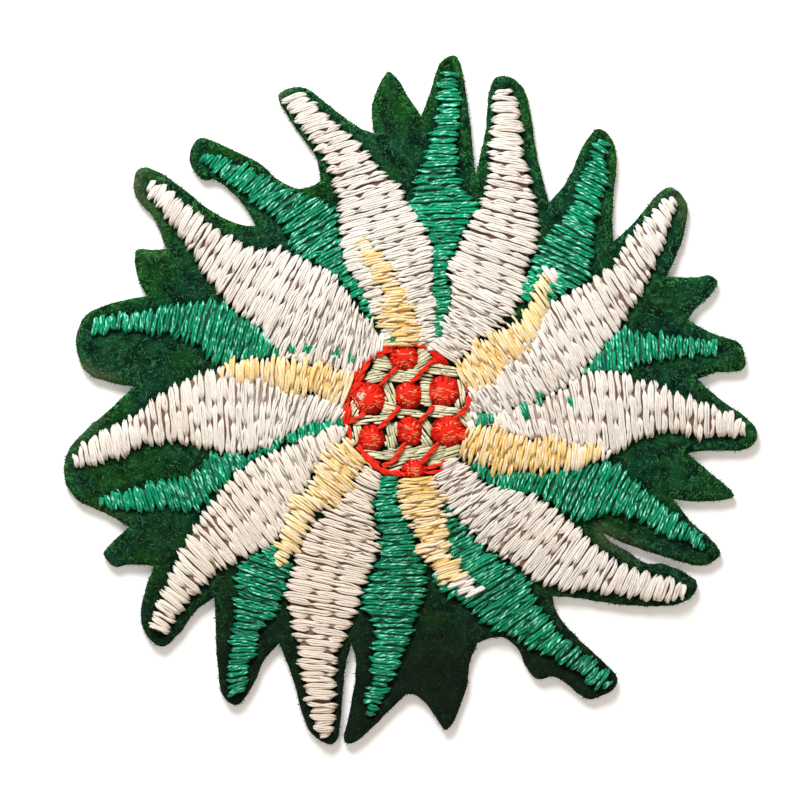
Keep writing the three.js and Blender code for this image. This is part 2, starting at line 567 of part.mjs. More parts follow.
// Triangles of a closed field: a grid over the rows, a flat floor with two points a row, and walls between
function fieldFaces(rowCount) {
  const columns = ROW_SHARES.length;
  const floor = rowCount * columns;
  const indices = [];
  const quad = (a, b, c, d) => indices.push(a, b, c, a, c, d);
  for (let i = 0; i + 1 < rowCount; i += 1) {
    const near = i * columns;
    const far = near + columns;
    const low = floor + 2 * i;
    for (let j = 0; j + 1 < columns; j += 1) {
      quad(near + j, far + j, far + j + 1, near + j + 1);
    }
    quad(low, low + 1, low + 3, low + 2);
    quad(near, low, low + 2, far);
    quad(near + columns - 1, far + columns - 1, low + 3, low + 1);
  }
  const last = floor - columns;
  const lastLow = floor + 2 * rowCount - 2;
  for (let j = 0; j + 1 < columns; j += 1) {
    indices.push(floor, j, j + 1);
    indices.push(lastLow, last + j + 1, last + j);
  }
  indices.push(floor, columns - 1, floor + 1);
  indices.push(lastLow, lastLow + 1, floor - 1);
  return indices;
}

// A closed raised field of thread: flat below, domed above, with a crest and a valley for each row
function raisedField(field, height) {
  const rows = stitchRows(field, smoothOutline(field.outline, OUTLINE_STEPS));
  const positions = [];
  rows.forEach(([start, end], i) => {
    ROW_SHARES.forEach((share) => {
      const point = start.clone().lerp(end, share);
      const rise = rowHeight(start.distanceTo(end), share, height, i % 2 === 0);
      positions.push(point.x, point.y, FELT_THICKNESS + rise);
    });
  });
  rows.flat().forEach((point) => positions.push(point.x, point.y, FELT_THICKNESS));
  return toSolid(triangleMesh(positions, fieldFaces(rows.length)));
}

// The room that a field takes for itself and its gap, as a tall block that cuts what lies under it
function fieldRoom(field) {
  const outline = grownOutline(smoothOutline(field.outline, 1), FIELD_GAP);
  return toSolid(prism(outline, 0, ROOM_HEIGHT));
}

function oval(radiusX, radiusY, sides) {
  const points = [];
  for (let i = 0; i < sides; i += 1) {
    const angle = -2 * Math.PI * i / sides;
    points.push(new THREE.Vector2(radiusX * Math.cos(angle), radiusY * Math.sin(angle)));
  }
  return points;
}

function middleRoom() {
  const outline = oval(MIDDLE_X + FIELD_GAP, MIDDLE_Y + FIELD_GAP, MIDDLE_SIDES);
  return toSolid(prism(outline, 0, ROOM_HEIGHT));
}

// Each colour is cut clear of the colours that lie over it, and each white petal of the ones before it
function threadFields() {
  const middle = middleRoom();
  const yellowRoom = joined([middle, ...YELLOW_PETALS.map(fieldRoom)]);
  const fields = [];
  YELLOW_PETALS.forEach((field, i) => {
    const solid = raisedField(field, YELLOW_HEIGHT).subtract(middle);
    fields.push([`yellow_petal_${i + 1}`, solid, 'yellow']);
  });
  let whiteRoom = yellowRoom;
  WHITE_PETALS.forEach((field, i) => {
    const solid = raisedField(field, WHITE_HEIGHT).subtract(whiteRoom);
    fields.push([`white_petal_${i + 1}`, solid, 'white']);
    whiteRoom = whiteRoom.add(fieldRoom(field));
  });
  let greenRoom = whiteRoom;
  GREEN_LEAVES.forEach((field, i) => {
    const solid = raisedField(field, GREEN_HEIGHT).subtract(greenRoom);
    fields.push([`green_leaf_${i + 1}`, solid, 'green']);
    greenRoom = greenRoom.add(fieldRoom(field));
  });
  return fields.map(([name, solid, colour]) => [name, toGeometry(largestBody(solid)), colour]);
}

function feltBase() {
  const points = [];
  FELT_LOBES.forEach((lobe) => {
    const curve = new THREE.SplineCurve(lobe.map(([x, y]) => new THREE.Vector2(x, y)));
    const spaced = curve.getPoints((lobe.length - 1) * LOBE_STEPS);
    spaced.pop();
    points.push(...spaced);
  });
  return prism(points, 0, FELT_THICKNESS);
}

// A band of parallel strands from one point to another, flat below, with a flat crest on each strand
function threadBand([[x1, y1], [x2, y2]], height) {
  const section = new THREE.Shape();
  const half = BAND_STRANDS * STRAND_WIDTH / 2;
  const crest = STRAND_WIDTH * STRAND_CREST / 2;
  section.moveTo(half, 0);
  for (let i = 0; i < BAND_STRANDS; i += 1) {
    const middle = half - (i + 0.5) * STRAND_WIDTH;
    section.lineTo(middle + STRAND_WIDTH / 2, height - STRAND_DEPTH);
    section.lineTo(middle + crest, height);
    section.lineTo(middle - crest, height);
  }
  section.lineTo(-half, height - STRAND_DEPTH);
  section.lineTo(-half, 0);
  const length = Math.hypot(x2 - x1, y2 - y1);
  const geometry = new THREE.ExtrudeGeometry(section, { depth: length, bevelEnabled: false });
  const along = new THREE.Vector3((x2 - x1) / length, (y2 - y1) / length, 0);
  const up = new THREE.Vector3(0, 0, 1);
  const across = new THREE.Vector3().crossVectors(up, along);
  const placed = new THREE.Matrix4().makeBasis(across, up, along);
  placed.setPosition(x1, y1, FELT_THICKNESS);
  return toSolid(geometry.applyMatrix4(placed));
}

// A domed dot of satin stitches, with a scalloped side where the threads turn down
function redDot([x, y, radius]) {
  const points = DOT_PROFILE.map(([r, z]) => new THREE.Vector2(r * radius, z * DOT_HEIGHT));
  const geometry = new THREE.LatheGeometry(points, DOT_SIDES);
  const position = geometry.attributes.position;
  for (let i = 0; i < position.count; i += 1) {
    const side = Math.floor(i / DOT_PROFILE.length) % DOT_SIDES;
    const scale = side % 2 === 0 ? 1 : 1 - DOT_SCALLOP;
    position.setX(i, position.getX(i) * scale);
    position.setZ(i, position.getZ(i) * scale);
  }
  geometry.rotateX(Math.PI / 2);
  geometry.translate(x, y, FELT_THICKNESS);
  return toSolid(geometry);
}

// A round thread along points that each have their own height
function threadRun(points, heights) {
  const route = points.map(([x, y], i) => new THREE.Vector3(x, y, heights[i]));
  const curve = new THREE.CatmullRomCurve3(route);
  const section = new THREE.Shape(oval(RED_THREAD_RADIUS, RED_THREAD_RADIUS, RED_THREAD_SIDES));
  const steps = points.length - 1;
  return toSolid(new THREE.ExtrudeGeometry(section, { steps, extrudePath: curve, bevelEnabled: false }));
}

function centreRedThread() {
  const onFelt = FELT_THICKNESS + RED_THREAD_RADIUS;
  const overBands = onFelt + BAND_HEIGHT + THREAD_LIFT;
  const rim = RIM_THREADS.map((points) => threadRun(points, points.map(() => onFelt)));
  const slants = SLANT_THREADS.map((points) => threadRun(points, points.map(() => overBands)));
  const dipHeights = DIPPING_THREAD.map((point, i) => (i + 1 < DIPPING_THREAD.length ? overBands : onFelt));
  const dip = threadRun(DIPPING_THREAD, dipHeights);
  return joined([...RED_DOTS.map(redDot), ...rim, ...slants, dip]);
}

// The sage bands, cut clear of the dots
function centreLattice() {
  const rooms = RED_DOTS.map(([x, y, radius]) => {
    const room = oval(radius + DOT_CLEARANCE, radius + DOT_CLEARANCE, DOT_SIDES);
    return toSolid(prism(room, 0, ROOM_HEIGHT).translate(x, y, 0));
  });
  const lower = LOWER_BANDS.map((ends) => threadBand(ends, LOWER_BAND_HEIGHT));
  const upper = UPPER_BANDS.map((ends) => threadBand(ends, BAND_HEIGHT));
  return largestBody(joined([...lower, ...upper]).subtract(joined(rooms)));
}

function namedMesh(name, geometry, colour) {
  const material = new THREE.MeshStandardMaterial({
    color: COLOURS[colour],
    roughness: colour === 'felt' ? FELT_ROUGHNESS : THREAD_ROUGHNESS,
    metalness: 0,
  });
  const mesh = new THREE.Mesh(geometry, material);
  mesh.name = name;
  return mesh;
}

const patch = new THREE.Group();
patch.add(namedMesh('felt_base', toGeometry(toSolid(feltBase())), 'felt'));
threadFields().forEach(([name, geometry, colour]) => patch.add(namedMesh(name, geometry, colour)));
patch.add(namedMesh('centre_lattice', toGeometry(centreLattice()), 'sage'));
patch.add(namedMesh('centre_red_thread', toGeometry(centreRedThread()), 'red'));

export default patch;
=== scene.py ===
# An embroidered flower patch of dark green felt, lying on a pale board and seen from straight above.
# Lengths in the constants and lists are millimetres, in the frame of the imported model.
import math

import bpy
import numpy as np
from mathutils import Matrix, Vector
from mathutils.geometry import delaunay_2d_cdt


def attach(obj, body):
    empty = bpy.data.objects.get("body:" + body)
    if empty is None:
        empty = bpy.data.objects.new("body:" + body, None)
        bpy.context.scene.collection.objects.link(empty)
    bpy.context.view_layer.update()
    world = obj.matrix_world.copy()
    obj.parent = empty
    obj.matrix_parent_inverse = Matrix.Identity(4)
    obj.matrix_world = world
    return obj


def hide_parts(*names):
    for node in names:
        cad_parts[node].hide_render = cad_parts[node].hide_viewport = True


MM = 0.001
randoms = np.random.default_rng(20)

# Levels of the felt's two faces over the board
FELT_TOP = 1.5
FELT_BOTTOM = 0.13

# The stitched oval in the flower's middle, as half width and half height
MIDDLE = (6.3, 6.75)

# By colour of thread: how far apart the rows of stitches lie, how high they stand on the felt, and how long
# one stitch is inside a wide field
ROW_PITCH = {"white": 0.6, "green": 0.59, "yellow": 0.5}
HEIGHTS = {"white": 0.95, "green": 0.75, "yellow": 1.15}
STITCH_LENGTHS = {"white": 4.8, "green": 4.6, "yellow": 4.0}

# Outlines of the thread fields, from the flower's middle out along one side, round the tip and back.
# spine runs from the middle to the tip. threads gives the stitches' direction in degrees, evenly along it.
# warm is how far the whole field is tinted warmer and darker, as painted shade at the foot of the flower,
# pale_tip how long its washed-out tip is, and dark how much darker it is, also as painted shade there.
WHITE_PETALS = [
    {"spine": [(0.2, 7.4), (-11.4, 31.8)], "threads": [12, 16, 20], "outline": [
        (-2.4, 7.2), (-3.1, 9.4), (-4.6, 11.9), (-6, 14), (-6.9, 17), (-7, 20), (-7.4, 22.9), (-8.3, 24.8),
        (-9.9, 27.2), (-11.8, 30), (-12.5, 31.1), (-12.1, 31.9), (-10.5, 32), (-9.3, 30.9), (-7, 28.9),
        (-4.4, 26.3), (-2.5, 24.2), (-0.8, 22.5), (0.4, 20.6), (1.5, 18.7), (2.5, 16.9), (2.8, 15.2),
        (2.6, 12.5), (2.8, 9.5), (2.9, 7.3),
    ]},
    {"spine": [(4.4, 6.2), (9.6, 32.3)], "threads": [-34, -22, -10, 0], "outline": [
        (2.6, 6.6), (3, 8.2), (3.9, 10.5), (4, 13.5), (4.3, 15.4), (5.2, 16.8), (6.1, 19.2), (7.2, 21.2),
        (8.1, 23.8), (8.1, 26.5), (8.5, 29.2), (8.5, 31.2), (9.1, 32.3), (9.8, 32.5), (10.6, 31.4),
        (11.2, 29.6), (11.6, 27), (11.9, 24.6), (12.6, 21.8), (13.1, 19.2), (13.2, 17.4), (12.2, 14.8),
        (11.6, 12.2), (10.2, 9.6), (7.6, 7.4), (5.2, 5.2),
    ]},
    {"spine": [(6.6, 1.8), (26.3, 21.3)], "threads": [120, 118, 128], "outline": [
        (6.2, 1.6), (6, 4.2), (8.5, 6.4), (11.4, 8.9), (13.6, 10.4), (15.6, 11.9), (18.3, 13.4),
        (20.2, 14.6), (21.5, 16.7), (23.2, 18.9), (24.9, 20.4), (25.6, 21.4), (26.6, 21.4), (26.7, 20),
        (26, 18), (25, 15.4), (24.1, 13.1), (22.8, 11), (21.5, 8.6), (19.8, 6.5), (18, 4.3), (16.4, 2.7),
        (13.6, 1.1), (10.8, 0.2), (8, -0.2),
    ]},
    {"spine": [(6.6, -1.8), (33.8, -1.8)], "threads": [112, 102, 92, 84], "outline": [
        (6.4, -0.6), (8.4, 0.1), (11, 0.8), (13.8, 1.7), (16.4, 3.1), (17.6, 4.1), (21.4, 4.1), (22.6, 3.3),
        (24.4, 3.1), (26, 2.3), (28.4, 1.5), (30.5, 0.7), (32.4, -0.2), (33.5, -1.2), (34, -1.9),
        (33.2, -2.4), (31, -2.5), (29.2, -2.7), (27, -2.1), (25, -2.2), (23, -3), (21, -3.9), (19, -4.6),
        (15, -4.8), (10, -4.2), (6.6, -3.4),
    ]},
    {"spine": [(4.2, -5.8), (16, -14.2), (27.8, -18)], "threads": [28, 46, 60, 74], "outline": [
        (4.4, -5.2), (6.2, -5.6), (7.8, -6.9), (9.2, -7.7), (11.4, -7.9), (13.2, -8.5), (15, -9.8),
        (16.6, -11), (18.2, -12.7), (19.8, -14.1), (22, -15.5), (24.4, -16.2), (26.8, -16.8), (28, -17.7),
        (27.6, -18.5), (25.3, -18.9), (22, -18.4), (18.6, -18.1), (15.2, -17.8), (13, -17.1), (10.6, -15.5),
        (8.4, -14.1), (6.6, -12.6), (5, -10.8), (3.8, -8.9), (3.4, -6.4),
    ]},
    {"spine": [(-3.6, -6.2), (-8.6, -32.4)], "threads": [-28, -14, -6, 2], "painted_warm_shade": 0.55, "outline": [
        (-3.8, -5.9), (-5.6, -7.4), (-8.2, -9.9), (-10, -11.6), (-11.2, -13.9), (-11.8, -16.2),
        (-12.3, -18.4), (-11.8, -20.8), (-11.2, -23.2), (-10.8, -26), (-10.1, -28.9), (-9.4, -30.9),
        (-9, -32.3), (-8.3, -32.6), (-7.5, -31.4), (-7.3, -29), (-7.2, -26), (-7, -24), (-6, -21.6),
        (-4.8, -18.9), (-4, -16.4), (-3.1, -14.2), (-3, -12.5), (-3.5, -10), (-3.2, -7.8), (-2.9, -6.5),
    ]},
    {"spine": [(-6.5, -1.8), (-25, -22.2)], "threads": [108, 120, 132, 152], "painted_warm_shade": 0.35, "outline": [
        (-6.4, -1), (-8.2, -1.6), (-10.2, -2.4), (-12.2, -3.2), (-14.2, -4.2), (-16.4, -5.3), (-18.4, -7.3),
        (-20.2, -9.6), (-22, -12.1), (-23.4, -15), (-24.6, -18), (-25.6, -20.4), (-25.6, -21.9),
        (-24.9, -22.5), (-24, -21.7), (-22.7, -20), (-21, -18.1), (-19.4, -16.4), (-17.2, -15),
        (-15.4, -14.1), (-13.8, -13.8), (-12.6, -12.4), (-11.2, -9.6), (-9.4, -6.4), (-7.6, -3.8),
        (-6.6, -2.3),
    ]},
    {"spine": [(-6.5, 0.4), (-20, 0), (-33.3, -4.9)], "threads": [58, 90, 96, 104], "outline": [
        (-6.5, 1), (-9, 1.9), (-12, 2.8), (-15, 3.9), (-18, 4.3), (-21, 3.9), (-23.4, 2.6), (-25.4, 1.4),
        (-27, 0), (-28.8, -1.1), (-30.6, -2.1), (-32.3, -3), (-33.3, -4.3), (-33.5, -5.3), (-32.4, -5.4),
        (-30.2, -4.9), (-28, -4.3), (-26.4, -3.4), (-22.4, -3.2), (-20, -3.8), (-17.4, -4.2), (-14.6, -3.8),
        (-12.4, -2.5), (-10.2, -1.3), (-8.2, -0.6), (-6.6, -0.2),
    ]},
    {"spine": [(-4, 7.4), (-14, 12.8), (-26.1, 23)], "threads": [80, 62, 58, 60], "outline": [
        (-2.6, 7.5), (-3.4, 8.9), (-4.8, 10.3), (-6.2, 11.9), (-7.3, 13.9), (-8.8, 14.6), (-10.6, 15.6),
        (-12.8, 16.4), (-15.4, 16.5), (-18, 17.8), (-20.6, 19.5), (-23, 21.5), (-25.2, 22.9), (-26.3, 23.2),
        (-26.1, 22.2), (-24.6, 20), (-22.7, 17.6), (-21.2, 15.2), (-19.6, 12.6), (-17.8, 10.5),
        (-15.6, 8.8), (-13.8, 6.8), (-12.2, 5), (-9.4, 4.2), (-6.4, 3.6), (-4.8, 4.6),
    ]},
]

GREEN_LEAVES = [
    {"spine": [(3.4, 8.6), (3.4, 20), (4.2, 34.2)], "threads": [4, 0], "outline": [
        (2.6, 8.6), (2.5, 12), (2.4, 16), (1.2, 18.8), (0, 20.6), (0.4, 22.2), (1.2, 24.6), (1.8, 26.4),
        (2.5, 28.6), (3, 31), (3.1, 33.2), (3.8, 34.3), (4.6, 34.2), (5, 33), (5.2, 30.4), (5, 27.6),
        (5, 24.8), (5.5, 22.2), (7, 20.9), (6.4, 19.2), (5.2, 17), (4.2, 15.2), (4.1, 12), (4.2, 8.8),
    ]},
    {"spine": [(12.8, 11.4), (17, 19), (19.3, 27)], "threads": [-24, -30], "outline": [
        (11.4, 11.4), (12, 14.2), (13.1, 16.4), (14.4, 18.2), (15.8, 20.1), (16.9, 22), (17, 23.4),
        (18, 25.2), (18.6, 26.5), (19.4, 27.3), (20, 26.6), (19.8, 24.9), (19.9, 22.8), (19.2, 21),
        (18.8, 18.6), (18.6, 15.6), (18.2, 13.4), (16.4, 12.4), (14.2, 11), (12.4, 10.4),
    ]},
    {"spine": [(17.4, 3.9), (22, 6), (31.8, 6.3)], "threads": [96, 92, 82], "outline": [
        (16.4, 3.2), (18.4, 5.4), (20.2, 7.4), (21.6, 8.9), (22.8, 7.9), (25.4, 7.7), (28, 7.4), (30.6, 7),
        (32, 6.4), (31.6, 5.9), (30, 5.9), (27.6, 5.5), (25, 5.1), (22.9, 4.6), (21.4, 3.8), (19, 3.6),
    ]},
    {"spine": [(7.4, -5.8), (18, -7.6), (29.9, -13.5)], "threads": [72, 64, 66], "outline": [
        (7, -5), (11, -5.4), (15, -5.3), (18.4, -5.1), (20.8, -5), (22.6, -6.5), (24.4, -8.3), (26.2, -9.9),
        (28, -11.4), (29.6, -12.7), (30.1, -13.6), (29, -13.7), (27.2, -12.9), (25.4, -12.5), (24, -11.2),
        (22, -10.6), (19.6, -10.3), (17.4, -11), (15.6, -10.3), (13.2, -8.7), (9.2, -7.8), (7, -6.4),
    ]},
    {"spine": [(4, -10), (9, -18), (20.2, -27)], "threads": [24, 34, 48], "dark": 0.14, "outline": [
        (3.8, -8.8), (5, -10.8), (6.8, -12.8), (9.4, -14.8), (12, -16.6), (12.8, -18.6), (13.9, -20.5),
        (15.6, -22.4), (17.2, -23.9), (18.8, -25.2), (20.1, -26), (20.4, -26.6), (20.1, -27.4),
        (18.8, -27.7), (17.4, -26.5), (15.4, -25.3), (13.2, -24), (11, -22.8), (8.6, -21.9), (6.8, -20.4),
        (4.6, -18.7), (2.7, -17), (2.8, -13),
    ]},
    {"spine": [(-2.2, -7), (-1, -15), (-1.4, -21), (-4, -30.2)],
     "threads": [6, 0, -8], "dark": 0.14, "outline": [
        (-3, -6.8), (-3.4, -9.5), (-2.9, -13), (-3.6, -16.2), (-4.8, -19), (-3.8, -21), (-3.4, -22.6),
        (-3.6, -25), (-3.5, -26.8), (-4.4, -28), (-4.2, -29.4), (-4.3, -30.4), (-3.4, -29.8), (-2.2, -27.8),
        (-0.8, -25.2), (0.2, -23.2), (1, -20.8), (1.6, -18.2), (1.9, -15.6), (1, -13.6), (0, -11), (-1, -9),
        (-1.2, -7),
    ]},
    {"spine": [(-12.4, -13.6), (-14.8, -17), (-16.4, -22.5), (-17.3, -28.2)],
     "threads": [-22, -18, -4, 24], "dark": 0.14, "outline": [
        (-10.4, -12.2), (-13.2, -13.2), (-15.2, -14.2), (-17.2, -15.2), (-17.3, -18.4), (-17.6, -21.6),
        (-18.1, -24.6), (-18, -27.4), (-17.4, -28.5), (-16.5, -28), (-15.8, -25.4), (-14.8, -22.4),
        (-13.4, -20.2), (-12.2, -18.2), (-11.6, -15.4), (-10.9, -13.4),
    ]},
    {"spine": [(-8, -1.4), (-14, -4.2), (-19.5, -6.4), (-25, -8.3), (-31.2, -8.9)],
     "threads": [92, 100, 108, 108, 100], "outline": [
        (-7, -0.2), (-10, -0.9), (-12.8, -2.2), (-15, -4), (-17.6, -4.2), (-19.9, -4.1), (-20.7, -5.6),
        (-22.6, -6.5), (-25, -7), (-28, -7.7), (-30.4, -8.4), (-31.5, -8.9), (-30.4, -9.5), (-28, -9.9),
        (-24.6, -9.6), (-21, -9.9), (-19.6, -8.5), (-17.6, -6.5), (-15.2, -5), (-12.4, -3.3), (-9.6, -2.8),
        (-7.6, -1.8),
    ]},
    {"spine": [(-12.4, 6), (-17, 7.8), (-22, 9), (-31.8, 8.5)], "threads": [72, 76, 82], "outline": [
        (-12, 5.2), (-15, 5.3), (-17.6, 4.8), (-19.4, 4.8), (-21, 6.5), (-23.4, 7.5), (-26.6, 7.8),
        (-29.6, 8), (-31.8, 7.6), (-32, 8.8), (-30.4, 9.6), (-27, 9.9), (-24, 10.5), (-21.6, 11.1),
        (-19, 11.2), (-16.6, 9.8), (-14.4, 8.2), (-12.6, 6.8),
    ]},
    {"spine": [(-3.4, 9.6), (-7, 15), (-10.5, 18.8), (-20.4, 25.2)],
     "threads": [16, 30, 36, 52], "outline": [
        (-3.2, 9), (-5, 11), (-6.6, 13.2), (-8.6, 14.4), (-10.2, 15.4), (-12, 16.2), (-12.1, 17.8),
        (-13.2, 19.4), (-15, 20.6), (-16.6, 21.8), (-18.2, 23.2), (-20.2, 24.7), (-20.9, 25.4), (-20, 25.9),
        (-18, 25.3), (-15.6, 24.5), (-13.6, 23.3), (-11.6, 22.3), (-9.6, 21.7), (-7.4, 20.6), (-6.8, 18),
        (-6.2, 15.2), (-4.8, 12.4), (-3, 10.2),
    ]},
]

YELLOW_PETALS = [
    {"spine": [(-0.2, 7.3), (-5.1, 17.6)], "threads": [3, 8, 18], "outline": [
        (-1.9, 7.4), (-2.4, 8.8), (-3.1, 10.4), (-3.2, 12.4), (-4.3, 14.3), (-5.2, 16), (-5.8, 17.3),
        (-5, 18), (-4, 17.6), (-2.6, 16.2), (-1.2, 14.6), (-0.4, 13), (0.6, 11.2), (1.4, 9.4), (1.7, 8),
        (1.4, 7.2),
    ]},
    {"spine": [(6.2, 3.6), (12.2, 8.8), (14.4, 14.2)],
     "threads": [-60, -58, -52], "pale_tip": 1.6, "outline": [
        (5.2, 4.4), (5.5, 5.9), (7.2, 7.5), (9.2, 8.8), (11.4, 9.7), (12.1, 11.4), (12.8, 13.2),
        (13.6, 14.5), (14.8, 14.4), (15.1, 13.5), (14, 12.2), (14.1, 10.5), (13.4, 8.8), (13.3, 7.4),
        (11.9, 6), (10.4, 4.6), (8.6, 2.4), (7.4, 2.2), (6.2, 3),
    ]},
    {"spine": [(5.9, -4.2), (20.2, -4.1)], "threads": [72, 82, 84], "pale_tip": 1.0, "outline": [
        (5.6, -4.4), (6.4, -2.9), (8, -1.4), (10.4, -1.4), (12.8, -2.3), (14.4, -1.9), (16.4, -2.8),
        (18.8, -3), (20.4, -3.6), (20.4, -4.6), (18.6, -5.3), (16.4, -5.7), (13.6, -6.4), (11, -6.2),
        (8.8, -6.4), (7, -5.3),
    ]},
    {"spine": [(1.2, -7), (1.8, -11), (2.8, -14.6), (6.6, -18.1)],
     "threads": [6, 14, 24], "pale_tip": 2.2, "outline": [
        (-1.3, -7.2), (-1.2, -8.8), (-0.4, -10.6), (0.4, -12.6), (0.8, -14.2), (1.9, -15.4), (2.8, -16.4),
        (4.6, -17.6), (6, -18.6), (7.2, -18.3), (7.4, -17.4), (6.2, -16.2), (4.9, -14.6), (4.1, -12.8),
        (4, -10.4), (3.8, -8.6), (3.6, -7.2), (3.2, -6.4),
    ]},
    {"spine": [(-5.9, -3), (-12.8, -15.1)], "threads": [-44, -36, -28], "outline": [
        (-6.3, -2.1), (-7.5, -2.4), (-8.6, -3.9), (-9.8, -5.6), (-10.2, -7), (-11.6, -8.6), (-12.4, -10.4),
        (-12.9, -12.4), (-13.6, -14.4), (-13, -15.4), (-12.1, -15.4), (-11.1, -13.9), (-10.2, -12),
        (-8.9, -10.1), (-6.4, -9.3), (-5.2, -7.4), (-4.2, -5.8), (-4.9, -4.6), (-5.8, -3.2),
    ]},
    {"spine": [(-6.2, 2.6), (-18.8, 3.9)], "threads": [70, 86, 92], "outline": [
        (-5.9, 3.9), (-7.2, 4.8), (-9.4, 5.3), (-11.6, 5.5), (-14, 5.5), (-16.4, 5.4), (-18.2, 4.7),
        (-19.1, 3.9), (-18.4, 3.2), (-16.4, 2.9), (-14.2, 3), (-12.6, 2), (-10.4, 1.6), (-8.6, 0.9),
        (-7.2, 0.7), (-6.2, 1.1),
    ]},
]

# Felt outline, clockwise from the top: one smooth lobe a row, and a sharp notch at its last point. Each lobe
# starts in the notch of the one before.
FELT_LOBES = [
    [(2.2, 31.7), (3.2, 34.8), (4.7, 35.6), (5.4, 34), (6.1, 29.4), (6.5, 25.2), (6.8, 23.5)],
    [(7.8, 28), (8.2, 32.2), (9.2, 33.6), (11, 33), (12, 31), (12.8, 26), (14.1, 20.8)],
    [(16, 23.2), (17.6, 26.6), (19, 28.3), (20.5, 27), (20.8, 24.6), (20.4, 20), (20.5, 17)],
    [(22.6, 18.8), (25, 21.7), (26.4, 22.4), (27.9, 20.8), (27.6, 17.9), (26.6, 15.2), (25.8, 13.5)],
    [(28.4, 13.4), (30.2, 13.6), (30.9, 12.8), (29.9, 11.4), (28.6, 10.2), (27.9, 9.2)],
    [(30.4, 7.9), (33, 6.9), (33.7, 5.4), (33.3, 4.2), (30.8, 4), (28.9, 3.3)],
    [(31.2, 1.2), (33.4, -0.3), (34.8, -1.7), (34.7, -3), (33.4, -3.8), (30.2, -3.8), (27.8, -4.1)],
    [(29.4, -5.4), (31.3, -7), (32.4, -8), (32.4, -8.6), (29.4, -8.9), (26.5, -8.7)],
    [(28.1, -10.8), (30.2, -12.7), (31.2, -14.1), (30.4, -15), (28.8, -15.3), (25.2, -14.3), (22, -13.2),
     (19.5, -12)],
    [(20, -12.9), (22, -14), (23.7, -15.2), (25.6, -15.3), (27.4, -16), (28.8, -17), (28.6, -18.2),
     (27, -19.2), (24, -19.4), (20.4, -19.1), (17, -18.6), (14.4, -18.4)],
    [(14.9, -20.2), (16.6, -22.3), (19, -24.6), (20.8, -26.4), (20.5, -27.7), (19.3, -28.4), (17.8, -28.6),
     (15.6, -27), (14.4, -26.4), (13, -26.7), (11.8, -25.4), (11, -23.6), (9.6, -22.5), (8.2, -22.6),
     (6.9, -23.1)],
    [(6.1, -25.2), (5.9, -27.4), (5.2, -29.4), (4.6, -30.8), (3.8, -31.8), (3, -30.8), (1.9, -29.2),
     (0.6, -28.2), (-0.3, -28.3)],
    [(-2.2, -30.1), (-3.6, -31.6), (-5.4, -33), (-6.4, -32.8), (-6, -30.8), (-5.3, -27.4), (-5.2, -24.6),
     (-5.7, -23)],
    [(-6.4, -26), (-6.8, -30.4), (-7.1, -32.7), (-8, -33.2), (-9.6, -32.2), (-10.5, -30.2), (-11.6, -26.3),
     (-12.9, -23.1)],
    [(-14.4, -24.8), (-15.8, -27.7), (-17.2, -29.3), (-18.5, -28.3), (-19, -25.6), (-19.2, -21.6),
     (-19.3, -18.5)],
    [(-21.2, -19.8), (-23, -22.2), (-24.6, -23.4), (-26.2, -22.2), (-26.7, -20), (-26.1, -17.4),
     (-25.3, -15.4)],
    [(-27.6, -15.2), (-29.4, -15.4), (-30.4, -14.2), (-29.4, -12.9), (-27.8, -11.5)],
    [(-30.4, -10), (-33, -8.8), (-34.3, -6.8), (-34.1, -4.2), (-32.2, -1.8), (-29.6, 0.4), (-27.4, 2.6)],
    [(-30.2, 3.1), (-32.3, 4.2), (-33.2, 6.8), (-32.4, 9.4), (-30.4, 10.6), (-26, 11.6)],
    [(-27, 13.5), (-27.2, 16.1), (-25.4, 16.2), (-24.1, 16.3)],
    [(-25.4, 19.4), (-27.2, 21.6), (-27.3, 23.7), (-26.3, 24.4), (-24, 23.4), (-20.4, 20.6), (-17.2, 18.8),
     (-15.1, 18.6)],
    [(-16.6, 21), (-19, 23.2), (-20.6, 23.4), (-21.8, 25.2), (-21.1, 27.2), (-19.6, 27.1), (-15.2, 25),
     (-13, 23.2), (-11, 22.3), (-9.4, 22.7), (-8.7, 23.2)],
    [(-9.2, 25.6), (-11, 28.2), (-12.9, 31.3), (-12, 32.3), (-10.3, 32.4), (-8, 30.7), (-5.2, 28.6),
     (-3.3, 27.8)],
    [(-3.6, 30), (-3.2, 31.9), (-2.3, 33.6), (-1.9, 34), (-1, 33.2), (-0.2, 31.8), (1.3, 29.6)],
]

# Ends of green thread that show between the white threads, as outline and the threads' direction in degrees
GREEN_PEEKS = [
    ([(6.5, -0.4), (8.5, -0.2), (8.4, -1.1), (6.8, -1.3)], 100),
    ([(11, 0.9), (11.7, 1), (12.2, -0.6), (11.7, -0.7)], 108),
    ([(12.7, 2), (13.3, 1.9), (13.6, 0.8), (13.1, 0.8)], 110),
    ([(16.1, 1.4), (16.5, 1.4), (16.5, 0.5), (16.2, 0.5)], 92),
    ([(-5.9, 5.9), (-5.3, 5.8), (-5.6, 4.5), (-6, 4.9)], 75),
    ([(-7.6, 6.1), (-6.9, 6.2), (-7, 5.3), (-7.5, 5.4)], 78),
    ([(-10.2, 6.9), (-9.6, 6.7), (-9.8, 5.7), (-10.4, 5.9)], 70),
    ([(-11.9, 6.6), (-11.2, 6.5), (-11.4, 5.9), (-11.9, 6)], 75),
    ([(2.8, 8.6), (3.5, 8.4), (3.2, 7.4), (2.7, 7.6)], -20),
    ([(-1.8, 7.3), (-1.2, 7.4), (-1.2, 6.9), (-1.8, 6.9)], 20),
]

